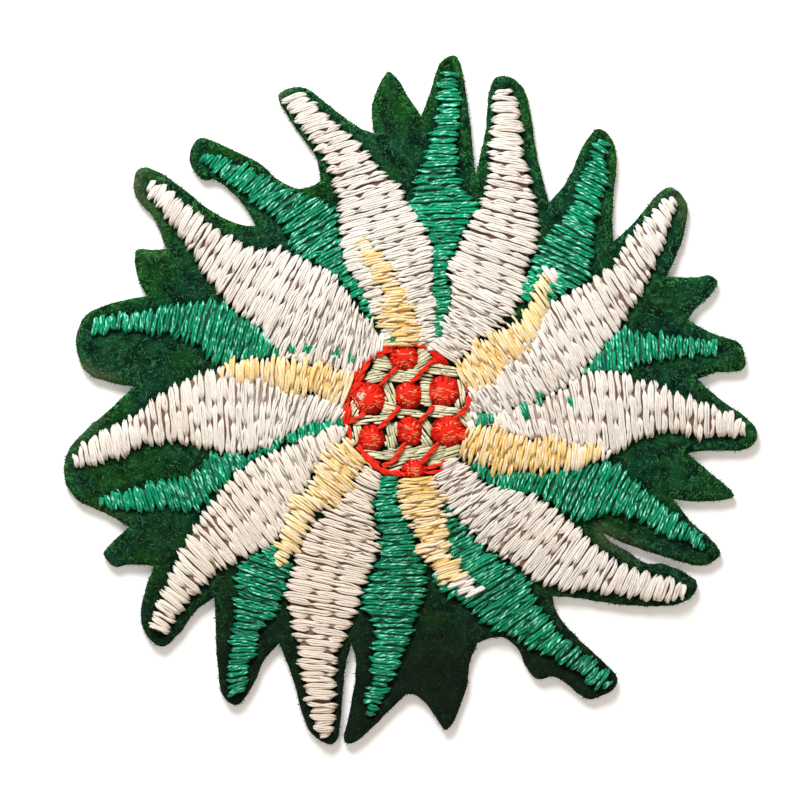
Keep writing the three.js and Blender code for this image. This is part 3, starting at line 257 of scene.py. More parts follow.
# Patches of sage thread in the middle, as outline and the threads' direction in degrees
SAGE_PATCHES = [
    ([(-3.3, 5.4), (-2.4, 5.6), (-1.7, 5.1), (-1.6, 4.2), (-2.8, 4.2), (-3.7, 4.1)], -8),
    ([(-4.5, 3.2), (-3.8, 4.2), (-2.7, 4.1), (-1.9, 3.7), (-2.5, 3.1), (-3.9, 2.9)], 12),
    ([(-1.8, 3.9), (-1.1, 4.2), (1.0, 4.2), (1.4, 3.5), (0.7, 3.1), (-0.9, 2.9), (-2.1, 3.2)], -6),
    ([(1.0, 6.5), (1.8, 6.4), (2.5, 5.7), (2.2, 4.8), (1.6, 4.2), (0.5, 4.1), (0.9, 5.0)], 32),
    ([(1.5, 4.2), (2.2, 4.9), (3.9, 4.8), (5.0, 4.3), (5.4, 3.6), (4.6, 3.6), (3.3, 3.7), (2.2, 3.9)], -8),
    ([(1.3, 3.8), (2.5, 3.7), (2.4, 3.1), (1.2, 3.2)], -10),
    ([(1.1, 3.0), (2.3, 3.0), (2.2, 1.6), (2.3, 0.5), (1.1, 0.8), (1.3, 2.0)], -4),
    ([(-2.5, 3.0), (-1.8, 3.0), (-1.3, 2.2), (-1.2, 1.2), (-1.0, 0.6), (-1.7, 0.5), (-2.3, 1.3)], -68),
    ([(-2.6, 1.0), (-1.1, 0.9), (-1.1, 0.2), (-1.6, -0.1), (-2.6, 0.0)], -14),
    ([(-5.5, -1.1), (-4.6, -0.4), (-3.0, -0.3), (-1.5, 0.2), (-1.1, -0.3), (-2.4, -1.1), (-3.8, -1.1),
      (-5.3, -1.6)], 6),
    ([(-1.0, 0.2), (0.0, 0.3), (1.0, 0.15), (1.9, -0.2), (1.6, -0.6), (0.3, -0.45), (-1.1, -0.5)], -5),
    ([(2.2, 0.6), (3.6, 0.5), (5.2, 0.5), (5.2, -0.1), (4.0, -0.4), (2.2, -0.4)], -4),
    ([(4.9, 3.3), (5.5, 3.1), (5.9, 2.2), (5.7, 1.0), (5.0, 0.2), (4.6, 0.8), (5.2, 1.6), (5.1, 2.4)], -80),
    ([(4.9, 0.1), (5.9, 0.6), (6.3, -0.3), (6.6, -1.5), (5.9, -1.7), (5.0, -1.0)], -50),
    ([(-2.4, -1.1), (-0.9, -1), (-1.2, -2), (-1, -3.3), (-1.7, -4), (-2.3, -3.3), (-2.2, -2.2)], -78),
    ([(1.0, -1.2), (1.9, -0.7), (2.5, -1.3), (2.2, -2.2), (2.5, -3.3), (1.6, -3.6), (1.2, -2.8)], -55),
    ([(-4.5, -3.8), (-2.9, -4.0), (-1.4, -3.6), (-0.9, -4.0), (-1.6, -4.9), (-2.6, -4.8), (-3.9, -4.5)], -7),
    ([(-1.0, -3.5), (0.9, -3.4), (2.1, -3.2), (2.6, -3.7), (1.6, -4.8), (0.3, -5.0), (-1.1, -5.1)], 9),
    ([(2.6, -3.3), (4.0, -3.5), (5.3, -3.1), (5.4, -3.9), (4.5, -4.7), (2.6, -5.1), (1.9, -4.7)], 18),
    ([(-2.2, -5.7), (-1.0, -5.0), (-0.1, -4.9), (-0.6, -5.7), (-1.6, -6.2)], 18),
    ([(1.9, -4.8), (3.6, -4.7), (3.8, -5.1), (2.0, -5.5)], 4),
    ([(-5.6, -1.2), (-4.7, -1.4), (-4.8, -2.2), (-5.1, -3.4), (-5.6, -2.4)], -80),
    ([(-5.7, 1.3), (-4.9, 1.0), (-5.0, -0.4), (-5.7, -0.5)], 60),
]

# Red dots as middle, half width and half height
RED_DOTS = [
    (-0.42, 5.5, 1.5, 1.32),
    (-3.95, 1.4, 1.72, 1.62),
    (0.05, 1.65, 1.4, 1.36),
    (3.6, 2.1, 1.6, 1.55),
    (-3.7, -2.6, 1.36, 1.34),
    (0.2, -1.9, 1.35, 1.45),
    (4.0, -1.9, 1.72, 1.6),
    (5.45, -2.35, 0.75, 0.7),
    (0.65, -5.75, 1.3, 1.05),
]

# The flat red patch at the upper right of the rim
RED_PATCH = [(1.5, 6.5), (3.0, 6.3), (4.05, 4.95), (3.95, 4.7), (2.2, 4.8), (2.5, 5.6)]
RED_PATCH_THREADS = -48

# Red thread round the rim and slanting from dot to dot, as route and half width
RIM_THREADS = [
    ([(-3.4, 5.5), (-2.5, 6.2), (-0.9, 6.8), (0.7, 6.75), (1.8, 6.4)], 0.26),
    ([(-3.1, 5.6), (-2.3, 5.9), (-1.4, 6.3)], 0.22),
    ([(-3.7, 5.6), (-4.3, 4.4), (-4.9, 3.1)], 0.3),
    ([(-4.4, 5.5), (-4.9, 4.4), (-5.3, 3.1)], 0.26),
    ([(-4.7, 3.0), (-5.3, 2.2), (-5.5, 1.4)], 0.26),
    ([(-5.1, 3.0), (-5.8, 2.0), (-6.1, 0.9)], 0.28),
    ([(-6.0, 1.0), (-6.3, 0.0), (-6.2, -1.2)], 0.3),
    ([(-5.9, 0.5), (-5.9, -0.6), (-5.9, -1.1)], 0.26),
    ([(-5.9, -1.0), (-4.9, -0.5), (-4.4, -0.1)], 0.24),
    ([(-5.9, -1.5), (-5.8, -2.4), (-5.45, -3.3)], 0.22),
    ([(-5.0, -3.4), (-4.2, -4.5), (-3.1, -5.5), (-2.2, -6.0), (-1.2, -6.1), (-0.3, -6.3)], 0.3),
    ([(-4.6, -3.9), (-3.7, -4.7), (-2.9, -5.2)], 0.22),
    ([(4.6, -4.75), (3.4, -5.2), (1.9, -5.6)], 0.22),
    ([(3.6, -5.75), (2.6, -6.0), (1.6, -6.1)], 0.17),
    ([(5.9, 2.9), (5.7, 2.1)], 0.15),
]
SLANT_THREADS = [
    ([(-1.1, 4.4), (-1.9, 3.7), (-2.8, 2.6)], 0.24),
    ([(2.4, 5.1), (1.5, 4.1), (0.3, 2.9)], 0.24),
    ([(-0.9, 0.5), (-1.7, -0.5), (-3.0, -1.7)], 0.26),
    ([(2.5, 0.6), (1.9, -0.2), (1.1, -1.0)], 0.24),
    ([(6.1, 1.7), (5.9, 0.6), (5.2, -0.2), (4.4, -1.0)], 0.27),
    ([(-0.3, -3.1), (-1.1, -4.3), (-1.6, -5.0), (-2.5, -5.4)], 0.26),
    ([(3.0, -3.1), (2.2, -4.1), (1.3, -5.2)], 0.28),
]


# Lines and outlines

CURVE_STEPS = 5
NOISE_GRID = 256
CHUNK = 200

# The fields' inner ends are drawn in under the rim of the middle: from which radius, over what length, how
# far they reach in and how much they widen
INNER_RADIUS = 9.4
INNER_LENGTH = 1.9
INNER_REACH = 2.2
INNER_GROWTH = 0.3


def lengths_of(lines):
    return np.linalg.norm(lines, axis=-1)


def cross2(a, b):
    return a[..., 0] * b[..., 1] - a[..., 1] * b[..., 0]


def unit(vector):
    return vector / np.maximum(lengths_of(vector)[..., None], 1e-12)


def towards(angle):
    return np.stack([np.cos(angle), np.sin(angle)], -1)


def left_of(direction):
    return np.stack([-direction[..., 1], direction[..., 0]], -1)


def jitter(size, count=None):
    return randoms.uniform(-size, size, count)


def smooth_step(a, b, slope_a, slope_b, t):
    """Points at shares t of a smooth way from a to b."""
    bend, twist = 3 * (b - a) - 2 * slope_a - slope_b, 2 * (a - b) + slope_a + slope_b
    return a + slope_a * t + bend * t ** 2 + twist * t ** 3


def closed_curve(points):
    """A smooth closed line through given points, clockwise."""
    p1 = np.array(points, float)
    p0, p2, p3 = np.roll(p1, 1, 0), np.roll(p1, -1, 0), np.roll(p1, -2, 0)
    d0, d1, d2 = (np.sqrt(lengths_of(b - a))[:, None] for a, b in ((p0, p1), (p1, p2), (p2, p3)))
    m1 = ((p1 - p0) / d0 - (p2 - p0) / (d0 + d1) + (p2 - p1) / d1) * d1
    m2 = ((p2 - p1) / d1 - (p3 - p1) / (d1 + d2) + (p3 - p2) / d2) * d1
    t = (np.arange(CURVE_STEPS) / CURVE_STEPS)[None, :, None]
    line = smooth_step(p1[:, None], p2[:, None], m1[:, None], m2[:, None], t).reshape(-1, 2)
    area = cross2(line, np.roll(line, -1, 0)).sum()
    return line if area < 0 else line[::-1]


def open_curve(points, spacing):
    """A smooth open line through given points, without its last point."""
    p = np.array(points, float)
    p = np.concatenate([p[:1], p, p[-1:]])
    parts = []
    for before, start, end, after in zip(p, p[1:], p[2:], p[3:]):
        steps = max(1, round(lengths_of(end - start) / spacing))
        t = (np.arange(steps) / steps)[:, None]
        parts.append(smooth_step(start, end, (end - before) / 2, (after - start) / 2, t))
    return np.concatenate(parts)


def grown(outline, distance):
    """A clockwise outline moved outwards, or inwards for a distance below 0."""
    along = unit(np.roll(outline, -1, 0) - np.roll(outline, 1, 0))
    return outline + distance * left_of(along)


def drawn_in(outline):
    """An outline whose inner end is wider and reaches in under the rim of the middle."""
    radius = lengths_of(outline)[:, None]
    share = np.clip((INNER_RADIUS - radius) / INNER_LENGTH, 0, 1)
    return grown(outline, INNER_GROWTH * share) * (1 - INNER_REACH * share / radius)


def oval(radius_x, radius_y, sides):
    return np.array([radius_x, radius_y]) * towards(-2 * np.pi * np.arange(sides) / sides)


def inside_stretches(outline, point, direction):
    """Start and end distance of each stretch of a line that lies inside an outline."""
    start = outline - point
    end = np.roll(start, -1, 0)
    side_a, side_b = cross2(direction, start), cross2(direction, end)
    hit = (side_a < 0) != (side_b < 0)
    share = side_a[hit] / (side_a[hit] - side_b[hit])
    at = (start[hit] + (end[hit] - start[hit]) * share[:, None]) @ direction
    return np.sort(at).reshape(-1, 2)


def outside_stretches(covers, point, direction, length):
    """Start and end distance of each stretch of a line that no cover lies over."""
    free = [(0.0, length)]
    for cover in covers:
        for low, high in inside_stretches(cover, point, direction):
            kept = []
            for start, end in free:
                parts = [(start, min(end, low)), (max(start, high), end)]
                kept += [(a, b) for a, b in parts if a < b]
            free = kept
    return free


def contains(outline, points):
    """Which points lie inside an outline."""
    inside = np.zeros(len(points), bool)
    for (x1, y1), (x2, y2) in zip(outline, np.roll(outline, -1, 0)):
        crosses = (y1 > points[:, 1]) != (y2 > points[:, 1])
        if crosses.any():
            inside ^= crosses & (points[:, 0] < x1 + (points[:, 1] - y1) * (x2 - x1) / (y2 - y1))
    return inside


def distance_to(line, points):
    """Distance from each point to the nearest corner of a finely divided line."""
    nearest = np.full(len(points), np.inf)
    for chunk in np.array_split(line, max(1, len(line) // CHUNK)):
        gaps = ((points[:, None] - chunk[None]) ** 2).sum(-1)
        nearest = np.minimum(nearest, gaps.min(1))
    return np.sqrt(nearest)


def soft_noise(points, scale, seed):
    """Smooth noise from -1 to 1 over points, with bumps about scale wide."""
    grid = np.random.default_rng(seed).uniform(-1, 1, (NOISE_GRID, NOISE_GRID))
    place = points[:, :2] / scale + NOISE_GRID / 2
    cell = np.floor(place).astype(int)
    t = place - cell
    t = t * t * (3 - 2 * t)
    x, y = (cell % (NOISE_GRID - 1)).T
    low = grid[x, y] * (1 - t[:, 0]) + grid[x + 1, y] * t[:, 0]
    high = grid[x, y + 1] * (1 - t[:, 0]) + grid[x + 1, y + 1] * t[:, 0]
    return low * (1 - t[:, 1]) + high * t[:, 1]


# Meshes

# How square a thread's cross-section is, sideways and upwards, where 1 is an ellipse
SQUARENESS = (0.8, 0.75)
# Longest way that a thread's filaments are shifted along it
FILAMENT_SHIFT = 9


def add_mesh(name, vertices, faces, corner_uv, values):
    """A smooth object of triangles or of quads, with a UV map if given and named numbers at its points."""
    mesh = bpy.data.meshes.new(name)
    mesh.vertices.add(len(vertices))
    mesh.vertices.foreach_set("co", (vertices * MM).astype(np.float32).ravel())
    mesh.loops.add(faces.size)
    mesh.loops.foreach_set("vertex_index", faces.astype(np.int32).ravel())
    mesh.polygons.add(len(faces))
    mesh.polygons.foreach_set("loop_start", np.arange(0, faces.size, faces.shape[1], dtype=np.int32))
    mesh.update(calc_edges=True)
    if corner_uv is not None:
        layer = mesh.uv_layers.new(name="thread")
        layer.data.foreach_set("uv", corner_uv.astype(np.float32).ravel())
    for key, numbers in values.items():
        attribute = mesh.attributes.new(key, "FLOAT", "POINT")
        attribute.data.foreach_set("value", numbers.astype(np.float32))
    mesh.shade_smooth()
    made = bpy.data.objects.new(name, mesh)
    bpy.context.scene.collection.objects.link(made)
    return made


def grid_quads(rows, columns, closed=False):
    """Corner numbers of the quads between points that stand in rows and columns."""
    across = columns if closed else columns - 1
    i, j = np.meshgrid(np.arange(rows - 1), np.arange(across), indexing="ij")
    k = (j + 1) % columns
    near, far = i * columns, (i + 1) * columns
    return np.stack([near + j, near + k, far + k, far + j], -1).reshape(-1, 4)


def face_up(points, faces):
    """Turns round the faces that look down."""
    a, b, c = (points[faces[:, corner]] for corner in range(3))
    down = cross2(b - a, c - a) < 0
    faces[down] = faces[down][:, ::-1]


def strand(flat, z, side, half_width, half_height, tone, pale=0.0):
    """One thread as numbers: its centre line, sideways direction, half sizes along it, tone and paleness."""
    centre = np.column_stack([flat, z])
    count = len(centre)
    steps = lengths_of(np.diff(centre, axis=0))
    return {
        "centre": centre,
        "side": np.broadcast_to(np.pad(np.atleast_2d(side), ((0, 0), (0, 1))), (count, 3)),
        "width": np.broadcast_to(half_width, count),
        "height": np.broadcast_to(half_height, count),
        "tone": np.broadcast_to(tone, count),
        "pale": np.broadcast_to(pale, count),
        "along": randoms.uniform(0, FILAMENT_SHIFT) + np.concatenate([[0], np.cumsum(steps)]),
        "tangent": unit(np.gradient(centre, axis=0)),
    }


def strands_mesh(name, strands, ring=6, extra=None):
    """A mesh of threads. Each is a flattened tube. extra is a surface under them: points, quads and tone."""
    whole = {key: np.concatenate([thread[key] for thread in strands]) for key in strands[0]}
    counts = np.array([len(thread["centre"]) for thread in strands])
    tangent = whole["tangent"]
    side = unit(whole["side"] - tangent * (whole["side"] * tangent).sum(1)[:, None])
    up = np.cross(tangent, side)
    section = towards(2 * np.pi * np.arange(ring) / ring - np.pi / 2)
    wide, high = (np.sign(section) * np.abs(section) ** SQUARENESS).T
    across = (wide[None] * whole["width"][:, None])[..., None] * side[:, None]
    over = (high[None] * whole["height"][:, None])[..., None] * up[:, None]
    vertices = (whole["centre"][:, None] + across + over).reshape(-1, 3)
    first = np.concatenate([[0], np.cumsum(counts)[:-1]])
    rows = np.concatenate([np.arange(start, start + count - 1) for start, count in zip(first, counts)])
    near, far = rows[:, None] * ring, (rows[:, None] + 1) * ring
    j = np.arange(ring)
    k = (j + 1) % ring
    quads = np.stack([near + j, near + k, far + k, far + j], -1).reshape(-1, 4)
    u = whole["along"][np.stack([rows, rows, rows + 1, rows + 1], 1)]
    v = np.stack([j, j + 1, j + 1, j], 1) / ring
    uv = np.stack(np.broadcast_arrays(u[:, None], v), -1).reshape(-1, 2)
    values = {key: np.repeat(whole[key], ring) for key in ("tone", "pale")}
    if extra is not None:
        under, under_quads, under_tone = extra
        quads = np.concatenate([quads, under_quads + len(vertices)])
        vertices = np.concatenate([vertices, under])
        uv = np.concatenate([uv, np.full((under_quads.size, 2), 0.5)])
        values["tone"] = np.concatenate([values["tone"], np.broadcast_to(under_tone, len(under))])
        values["pale"] = np.concatenate([values["pale"], np.zeros(len(under))])
    return add_mesh(name, vertices, quads, uv, values)


# Rows of stitches across a field

# The rows go on this far past the ends of the spine. They lie further apart along it the more they slant to
# it, up to this share of a right angle's sine, and a row shorter than the last number is left out
SPINE_MARGIN = 3.0
LEAST_SLANT = 0.5
LEAST_ROW = 0.25
# Height of the thread at a field's edge, the width from which a field is full height, and how high a field
# stands on another one
EDGE_HEIGHT = 0.35
FULL_WIDTH = 3.0
LAPPED_RISE = 0.22
# Needle holes: the narrowest row that has any, how far they stay from its ends, how far they are shifted
# from row to row as a share of a stitch, and how irregular they are
UNCUT_WIDTH = 3.2
LEAST_STITCH = 0.8
HOLE_SHIFT = 0.25
HOLE_JITTER = 0.45
MOST_HOLES = 6


def spine_place(spine, distance):
    """Point and heading at a distance along a spine, which goes on straight past both its ends."""
    points = np.array(spine, float)
    parts = np.diff(points, axis=0)
    ends = np.cumsum(lengths_of(parts))
    i = min(int(np.searchsorted(ends, distance)), len(parts) - 1)
    heading = unit(parts[i])
    return points[i + 1] + heading * (distance - ends[i]), heading


def stitch_rows(field, outline, pitch):
    """Rows of needle holes across a field: left and right end, direction, and where the spine crosses."""
    length = lengths_of(np.diff(np.array(field["spine"], float), axis=0)).sum()
    angles = field["threads"]
    rows = []
    distance = -SPINE_MARGIN
    while distance < length + SPINE_MARGIN:
        share = min(max(distance / length, 0), 1) * (len(angles) - 1)
        direction = towards(math.radians(np.interp(share, range(len(angles)), angles)))
        point, heading = spine_place(field["spine"], distance)
        slant = float(cross2(heading, direction))
        if slant < 0:
            direction = -direction
        reach = inside_stretches(outline, point, direction)
        distance += pitch / max(abs(slant), LEAST_SLANT)
        if len(reach) == 0:
            continue
        low, high = min(reach, key=lambda pair: max(pair[0], -pair[1], 0))
        if high - low < LEAST_ROW:
            continue
        rows.append({"left": point + direction * low, "right": point + direction * high, "spine": -low,
                     "direction": direction, "width": high - low, "distance": distance})
    return rows


def ground_under(points, lower_fields):
    """How high the thread of lower fields stands under points."""
    height = np.zeros(len(points))
    for outline, level in lower_fields:
        height = np.where(contains(outline, points), np.maximum(height, level), height)
    return height


def field_rise(share, width, height, ground):
    """Height of the thread over the felt, at a share of the way across a row."""
    dome = np.sqrt(np.maximum(1 - (2 * share - 1) ** 2, 0))
    fullness = min(1.0, width / FULL_WIDTH)
    return np.maximum(EDGE_HEIGHT + (height - EDGE_HEIGHT) * dome * fullness, ground + LAPPED_RISE)


def needle_holes(start, end, spine, width, number, stitch_length):
    """Where a row's thread goes down into the felt, half a stitch away from the next row's places."""
    if width < UNCUT_WIDTH:
        return np.array([])
    phase = HOLE_SHIFT if number % 2 == 0 else -HOLE_SHIFT
    places = spine + (np.arange(-MOST_HOLES, MOST_HOLES + 1) + phase) * stitch_length
    places = places + jitter(HOLE_JITTER, len(places))
    low, high = max(LEAST_STITCH, start + LEAST_STITCH), min(width - LEAST_STITCH, end - LEAST_STITCH)
    return places[(places > low) & (places < high)]


# Thread of one row

# Each row is a bundle of plies: how many, how far apart, half of one ply's width and height, how much they
# differ in length, shade and width, and how often they change places between two holes
PLIES = {"white": 3, "green": 2, "yellow": 2}
PLY_GAP = {"white": 0.2, "green": 0.27, "yellow": 0.24}
HALF_WIDTH = {"white": 0.135, "green": 0.15, "yellow": 0.165}
HALF_HEIGHT = {"white": 0.13, "green": 0.15, "yellow": 0.13}
PLY_JITTER = {"white": 0.15, "green": 0.15, "yellow": 0.35}
PLY_SHADES = {"white": 0.07, "green": 0.35, "yellow": 0.08}
PLY_WIDTHS = (0.85, 1.12)
PLY_CROSSING = 0.35
# How far a ply strays up and sideways, and how fast it wavers, in radians a millimetre
PLY_LIFT = 0.035
PLY_STRAY = 0.05
PLY_WAVES = (1, 3)
# Distance between two points along a ply, and the fewest that it has
STEP = 0.17
FEWEST_POINTS = 6
# How far each stitch bows to a side between two holes, and how much its tone differs
BOW = {"white": 0.08, "green": 0.12, "yellow": 0.08}
STITCH_SHADE = 0.07
# How a thread ends: share of its height that it goes down, over what length, share of the gap that its
# plies close up, and over what length
END_SHAPES = {"edge": (0.9, 0.2, 0.6, 0.5), "under": (0.8, 0.25, 0.2, 0.3)}
# How far an end goes down below what it lies on, how much it thins to a point, over what length, and over
# what length it leans to the hole that it shares
END_DIP = 0.1
END_POINT = 0.6
END_TAPER = 0.4
PULL_REACH = 0.6
# In narrow parts of a field the ends are blunter and the plies thicker: between these lengths of a row,
# down to this share and by this share
SHORT_ROWS = (1.0, 4.0)
SHORT_ENDS = 0.35
SHORT_THICK = 0.2
# What a needle hole does: how deep the thread dips, how far its plies close up and lean, how much thinner
# they get, and over what length
HOLE_DIP = 0.4
HOLE_CLOSE = 0.85
HOLE_LEAN = {"white": 0.13, "green": 0.17, "yellow": 0.09}
HOLE_LEANS = (-0.3, 1.3)
HOLE_THIN = 0.3
HOLE_REACH = 0.38
LEAST_SPREAD = 0.2
# Loose plies, near the flower's middle, are thinner, dip deeper at the holes, close up less, have ragged
# ends and each their own holes, which even in tight thread are a little apart
LOOSE_THIN = 0.05
LOOSE_DIP = 0.25
LOOSE_OPEN = 0.7
LOOSE_ENDS = 0.2
LOOSE_JITTER = 0.6
TIGHT_SHARE = 0.1
# A yellow ply is washed out over up to this length at its ends, this strongly, and a little all along it
PALE_END = 0.8
LEAST_PALE_END = 0.01
PALE_STRENGTH = 1.3
PALE_ALONG = 0.45


def end_effects(s, thread, start, end, low, high, rise):
    """What the two ends of a ply do to its height, spread, thickness and sideways place."""
    spread, thin, wander = np.ones(len(s)), np.ones(len(s)), np.zeros(len(s))
    short = np.interp(end - start, SHORT_ROWS, (SHORT_ENDS, 1))
    gaps = s - low, high - s
    for kind, gap, pull, below in zip(thread["kinds"], gaps, thread["pulls"], thread["grounds"]):
        depth, reach, close, taper = END_SHAPES[kind]
        rise = rise - np.exp(-(gap / (reach * short)) ** 2) * depth * np.maximum(rise - below + END_DIP, 0)
        spread = spread - close * short * np.exp(-(gap / (taper * short)) ** 2)
        if kind == "edge":
            thin = thin - END_POINT * short * np.clip(1 - gap / (END_TAPER * short), 0, 1) ** 1.3
            wander = wander + pull * np.exp(-gap / (PULL_REACH * short))
    return rise, spread, thin, wander, short


def washed_out(s, low, high, pale):
    """How pale a yellow ply is along it."""
    reach = np.maximum(jitter(PALE_END, 2), LEAST_PALE_END)
    pale = pale + PALE_STRENGTH * np.exp(-(s - low) / reach[0])
    pale = pale + PALE_STRENGTH * np.exp(-(high - s) / reach[1])
    return np.clip(pale + PALE_ALONG * randoms.uniform(0, 1) ** 3, 0, 1)


def lay_thread(thread, start, end, holes):
    """The plies of one row's thread from start to end, which close up and dip at each needle hole."""
    colour, loose, direction, width = (thread[key] for key in ("colour", "loose", "direction", "width"))
    side = left_of(direction)
    stitches = [(a, b, jitter(BOW[colour]), jitter(STITCH_SHADE))
                for a, b in zip([start, *holes], [*holes, end])]
    leans = [(hole, randoms.uniform(*HOLE_LEANS) * HOLE_LEAN[colour]) for hole in holes]
    places = np.arange(PLIES[colour]) - (PLIES[colour] - 1) / 2
    orders = [places] * (len(holes) + 2)
    for i in range(1, len(orders)):
        orders[i] = randoms.permutation(places) if randoms.random() < PLY_CROSSING else orders[i - 1]
    made = []
    for ply in range(PLIES[colour]):
        ragged = jitter(1, 2) * (PLY_JITTER[colour] + LOOSE_ENDS * loose)
        ragged = ragged * [kind == "edge" for kind in thread["kinds"]]
        low, high = start + ragged[0], end + ragged[1]
        s = np.linspace(low, high, max(FEWEST_POINTS, math.ceil((high - low) / STEP)))
        ground = thread["grounds"][0] + (thread["grounds"][1] - thread["grounds"][0]) * s / width
        rise = field_rise(s / width, width, HEIGHTS[colour], ground)
        rise, spread, thin, wander, short = end_effects(s, thread, start, end, low, high, rise)
        shades = np.zeros(len(s))
        for a, b, bow, shade in stitches:
            wander = wander + bow * np.sin(np.pi * np.clip((s - a) / (b - a), 0, 1))
            shades = np.where((s >= a) & (s <= b), shade, shades)
        for hole, lean in leans:
            own_hole = hole + jitter(LOOSE_JITTER) * (TIGHT_SHARE + loose)
            near = np.exp(-((s - own_hole) / HOLE_REACH) ** 2)
            rise = rise - (HOLE_DIP + LOOSE_DIP * loose) * near * np.maximum(rise - ground, 0)
            spread = spread - HOLE_CLOSE * (1 - LOOSE_OPEN * loose) * near
            thin = thin - (HOLE_THIN + LOOSE_DIP * loose) * near
            wander = wander + lean * near
        place = np.interp(s, [start, *holes, end], [order[ply] for order in orders])
        stray = randoms.uniform(0, PLY_STRAY) * (1 + loose)
        stray = stray * np.sin(randoms.uniform(*PLY_WAVES) * s + randoms.uniform(0, 6))
        across = wander + place * PLY_GAP[colour] * np.maximum(spread, LEAST_SPREAD) + stray
        flat = thread["left"] + direction * s[:, None] + side * across[:, None]
        half_width = HALF_WIDTH[colour] * thin * (1 - LOOSE_THIN * loose) * randoms.uniform(*PLY_WIDTHS)
        half_width = half_width * (1 + SHORT_THICK * (1 - short))
        half_height = HALF_HEIGHT[colour] * thin
        lift = jitter(PLY_LIFT) * (1 + loose) + PLY_LIFT * (1 - np.abs(place))
        pale = washed_out(s, low, high, thread["pale"]) if colour == "yellow" else thread["pale"]
        tone = thread["tone"] + shades - randoms.uniform(0, PLY_SHADES[colour])
        z = FELT_TOP + rise - half_height + lift
        made.append(strand(flat, z, side, half_width, half_height, tone, pale))
    return made


# Stitches of a field

# How far a thread's end is pulled to the hole that it shares with the next thread, how irregularly, how far
# the ends stray along the row, and the least tone of a thread
PULL = {"white": 0.13, "green": 0.12, "yellow": 0.05}
PULL_JITTER = 0.08
END_JITTER = {"white": 0.22, "green": 0.22, "yellow": 0.4}
LEAST_TONE = {"white": 0.9, "green": 0.7, "yellow": 0.85}
# Between these distances from the flower's middle the plies get looser, the stitches shorter and the pull
# weaker. Green thread is evenly loose
LOOSE_FROM = 18.0
LOOSE_TO = 9.0
LOOSE_GREEN = 0.3
LOOSE_SHORT = 0.3
LOOSE_PULL = 0.8
# Yellow thread is deeper in colour towards the middle of the flower
DEEPER = 0.14
# Shortest row and shortest visible stretch of thread, and how ragged a field ends that another one covers
SHORTEST_ROW = 0.45
SHORTEST_STRETCH = 0.5
WINDOW_JITTER = 0.5
# The surface under the stitches: where its points lie across a row, how far it stays in from the field's
# edge and how many times as wide a row has to be, how far under the stitches and how deep in the felt it
# lies, and how bright it is far out and near the middle. It stands for real underlay thread, but its low tone
# mixes it toward the thread's shade colour, as painted shade in the needle holes
UNDER_SHARES = np.array([0, 0.15, 0.32, 0.5, 0.68, 0.85, 1])
UNDER_INSET = {"white": 0.45, "green": 0.45, "yellow": 0.8}
UNDER_LEAST = 2.5
UNDER_DEPTH = 0.36
UNDER_LOWEST = -0.12
UNDER_PAINTED_SHADE = {"white": 0.11, "green": 0.05, "yellow": 0.4}
UNDER_PAINTED_SHADE_MIDDLE = {"white": 0.42, "green": 0.05, "yellow": 0.45}


def row_thread(field, rows, i, colour, lower_fields):
    """The thread between two rows of holes. It zigzags, so that two threads share each hole at the edges."""
    left = (rows[i]["left"] + rows[i + 1]["left"]) / 2
    right = (rows[i]["right"] + rows[i + 1]["right"]) / 2
    from_middle = float(lengths_of((left + right) / 2))
    loose = min(max((LOOSE_FROM - from_middle) / (LOOSE_FROM - LOOSE_TO), 0), 1)
    if colour == "green":
        loose = LOOSE_GREEN
    stray = jitter(1, 2) * (END_JITTER[colour] + LOOSE_ENDS * loose)
    left, right = left + rows[i]["direction"] * stray[0], right + rows[i]["direction"] * stray[1]
    width = float(lengths_of(right - left))
    if width < SHORTEST_ROW:
        return None
    direction = (right - left) / width
    ahead = rows[i + 1]["left"] + rows[i + 1]["right"] - rows[i]["left"] - rows[i]["right"]
    turn = math.copysign(1.0, cross2(direction, ahead)) * (-1 if i % 2 == 0 else 1)
    pulls = turn * PULL[colour] * (1 - LOOSE_PULL * loose) * np.array([1, -1]) + jitter(PULL_JITTER, 2)
    # A field's dark share makes its thread darker: painted shade on the leaves at the foot of the flower
    tone = randoms.uniform(LEAST_TONE[colour], 1.0) * (1 - field.get("dark", 0))
    if colour == "yellow":
        tone = tone * (1 - DEEPER * loose)
    at_tip = rows[-1]["distance"] - rows[i]["distance"] < field.get("pale_tip", 0)
    # A white field's warm share tints its thread toward the white's pale colour, a warmer, darker painted
    # shade at the foot of the flower; a yellow tip's paleness is the thread's own
    return {"colour": colour, "left": left, "direction": direction, "width": width, "loose": loose,
            "pulls": pulls, "grounds": ground_under(np.array([left, right]), lower_fields), "tone": tone,
            "pale": 1.0 if at_tip else field.get("painted_warm_shade", 0.0)}


def field_stitches(field, outline, colour, covers, windows, lower_fields):
    """Every stitch of a field, and its rows of needle holes.

    Covers hide what is under them. Windows are small gaps between the stitches, which show what is below.
    """
    rows = stitch_rows(field, outline, ROW_PITCH[colour])
    made = []
    for i in range(len(rows) - 1):
        thread = row_thread(field, rows, i, colour, lower_fields)
        if thread is None:
            continue
        left, direction, width = thread["left"], thread["direction"], thread["width"]
        stitch_length = STITCH_LENGTHS[colour] * (1 - LOOSE_SHORT * thread["loose"])
        for low, high in outside_stretches(covers, left, direction, width):
            for start, end in outside_stretches(windows, left + direction * low, direction, high - low):
                cuts = start > 1e-6, end < high - low - 1e-6
                start, end = low + start, low + end
                if end - start < SHORTEST_STRETCH:
                    continue
                open_ends = start < 1e-6 or cuts[0], end > width - 1e-6 or cuts[1]
                thread["kinds"] = ["edge" if open_end else "under" for open_end in open_ends]
                start -= cuts[0] * randoms.uniform(0, WINDOW_JITTER)
                end += cuts[1] * randoms.uniform(0, WINDOW_JITTER)
                holes = needle_holes(start, end, rows[i]["spine"], width, i, stitch_length)
                made += lay_thread(thread, start, end, holes)
    return made, rows


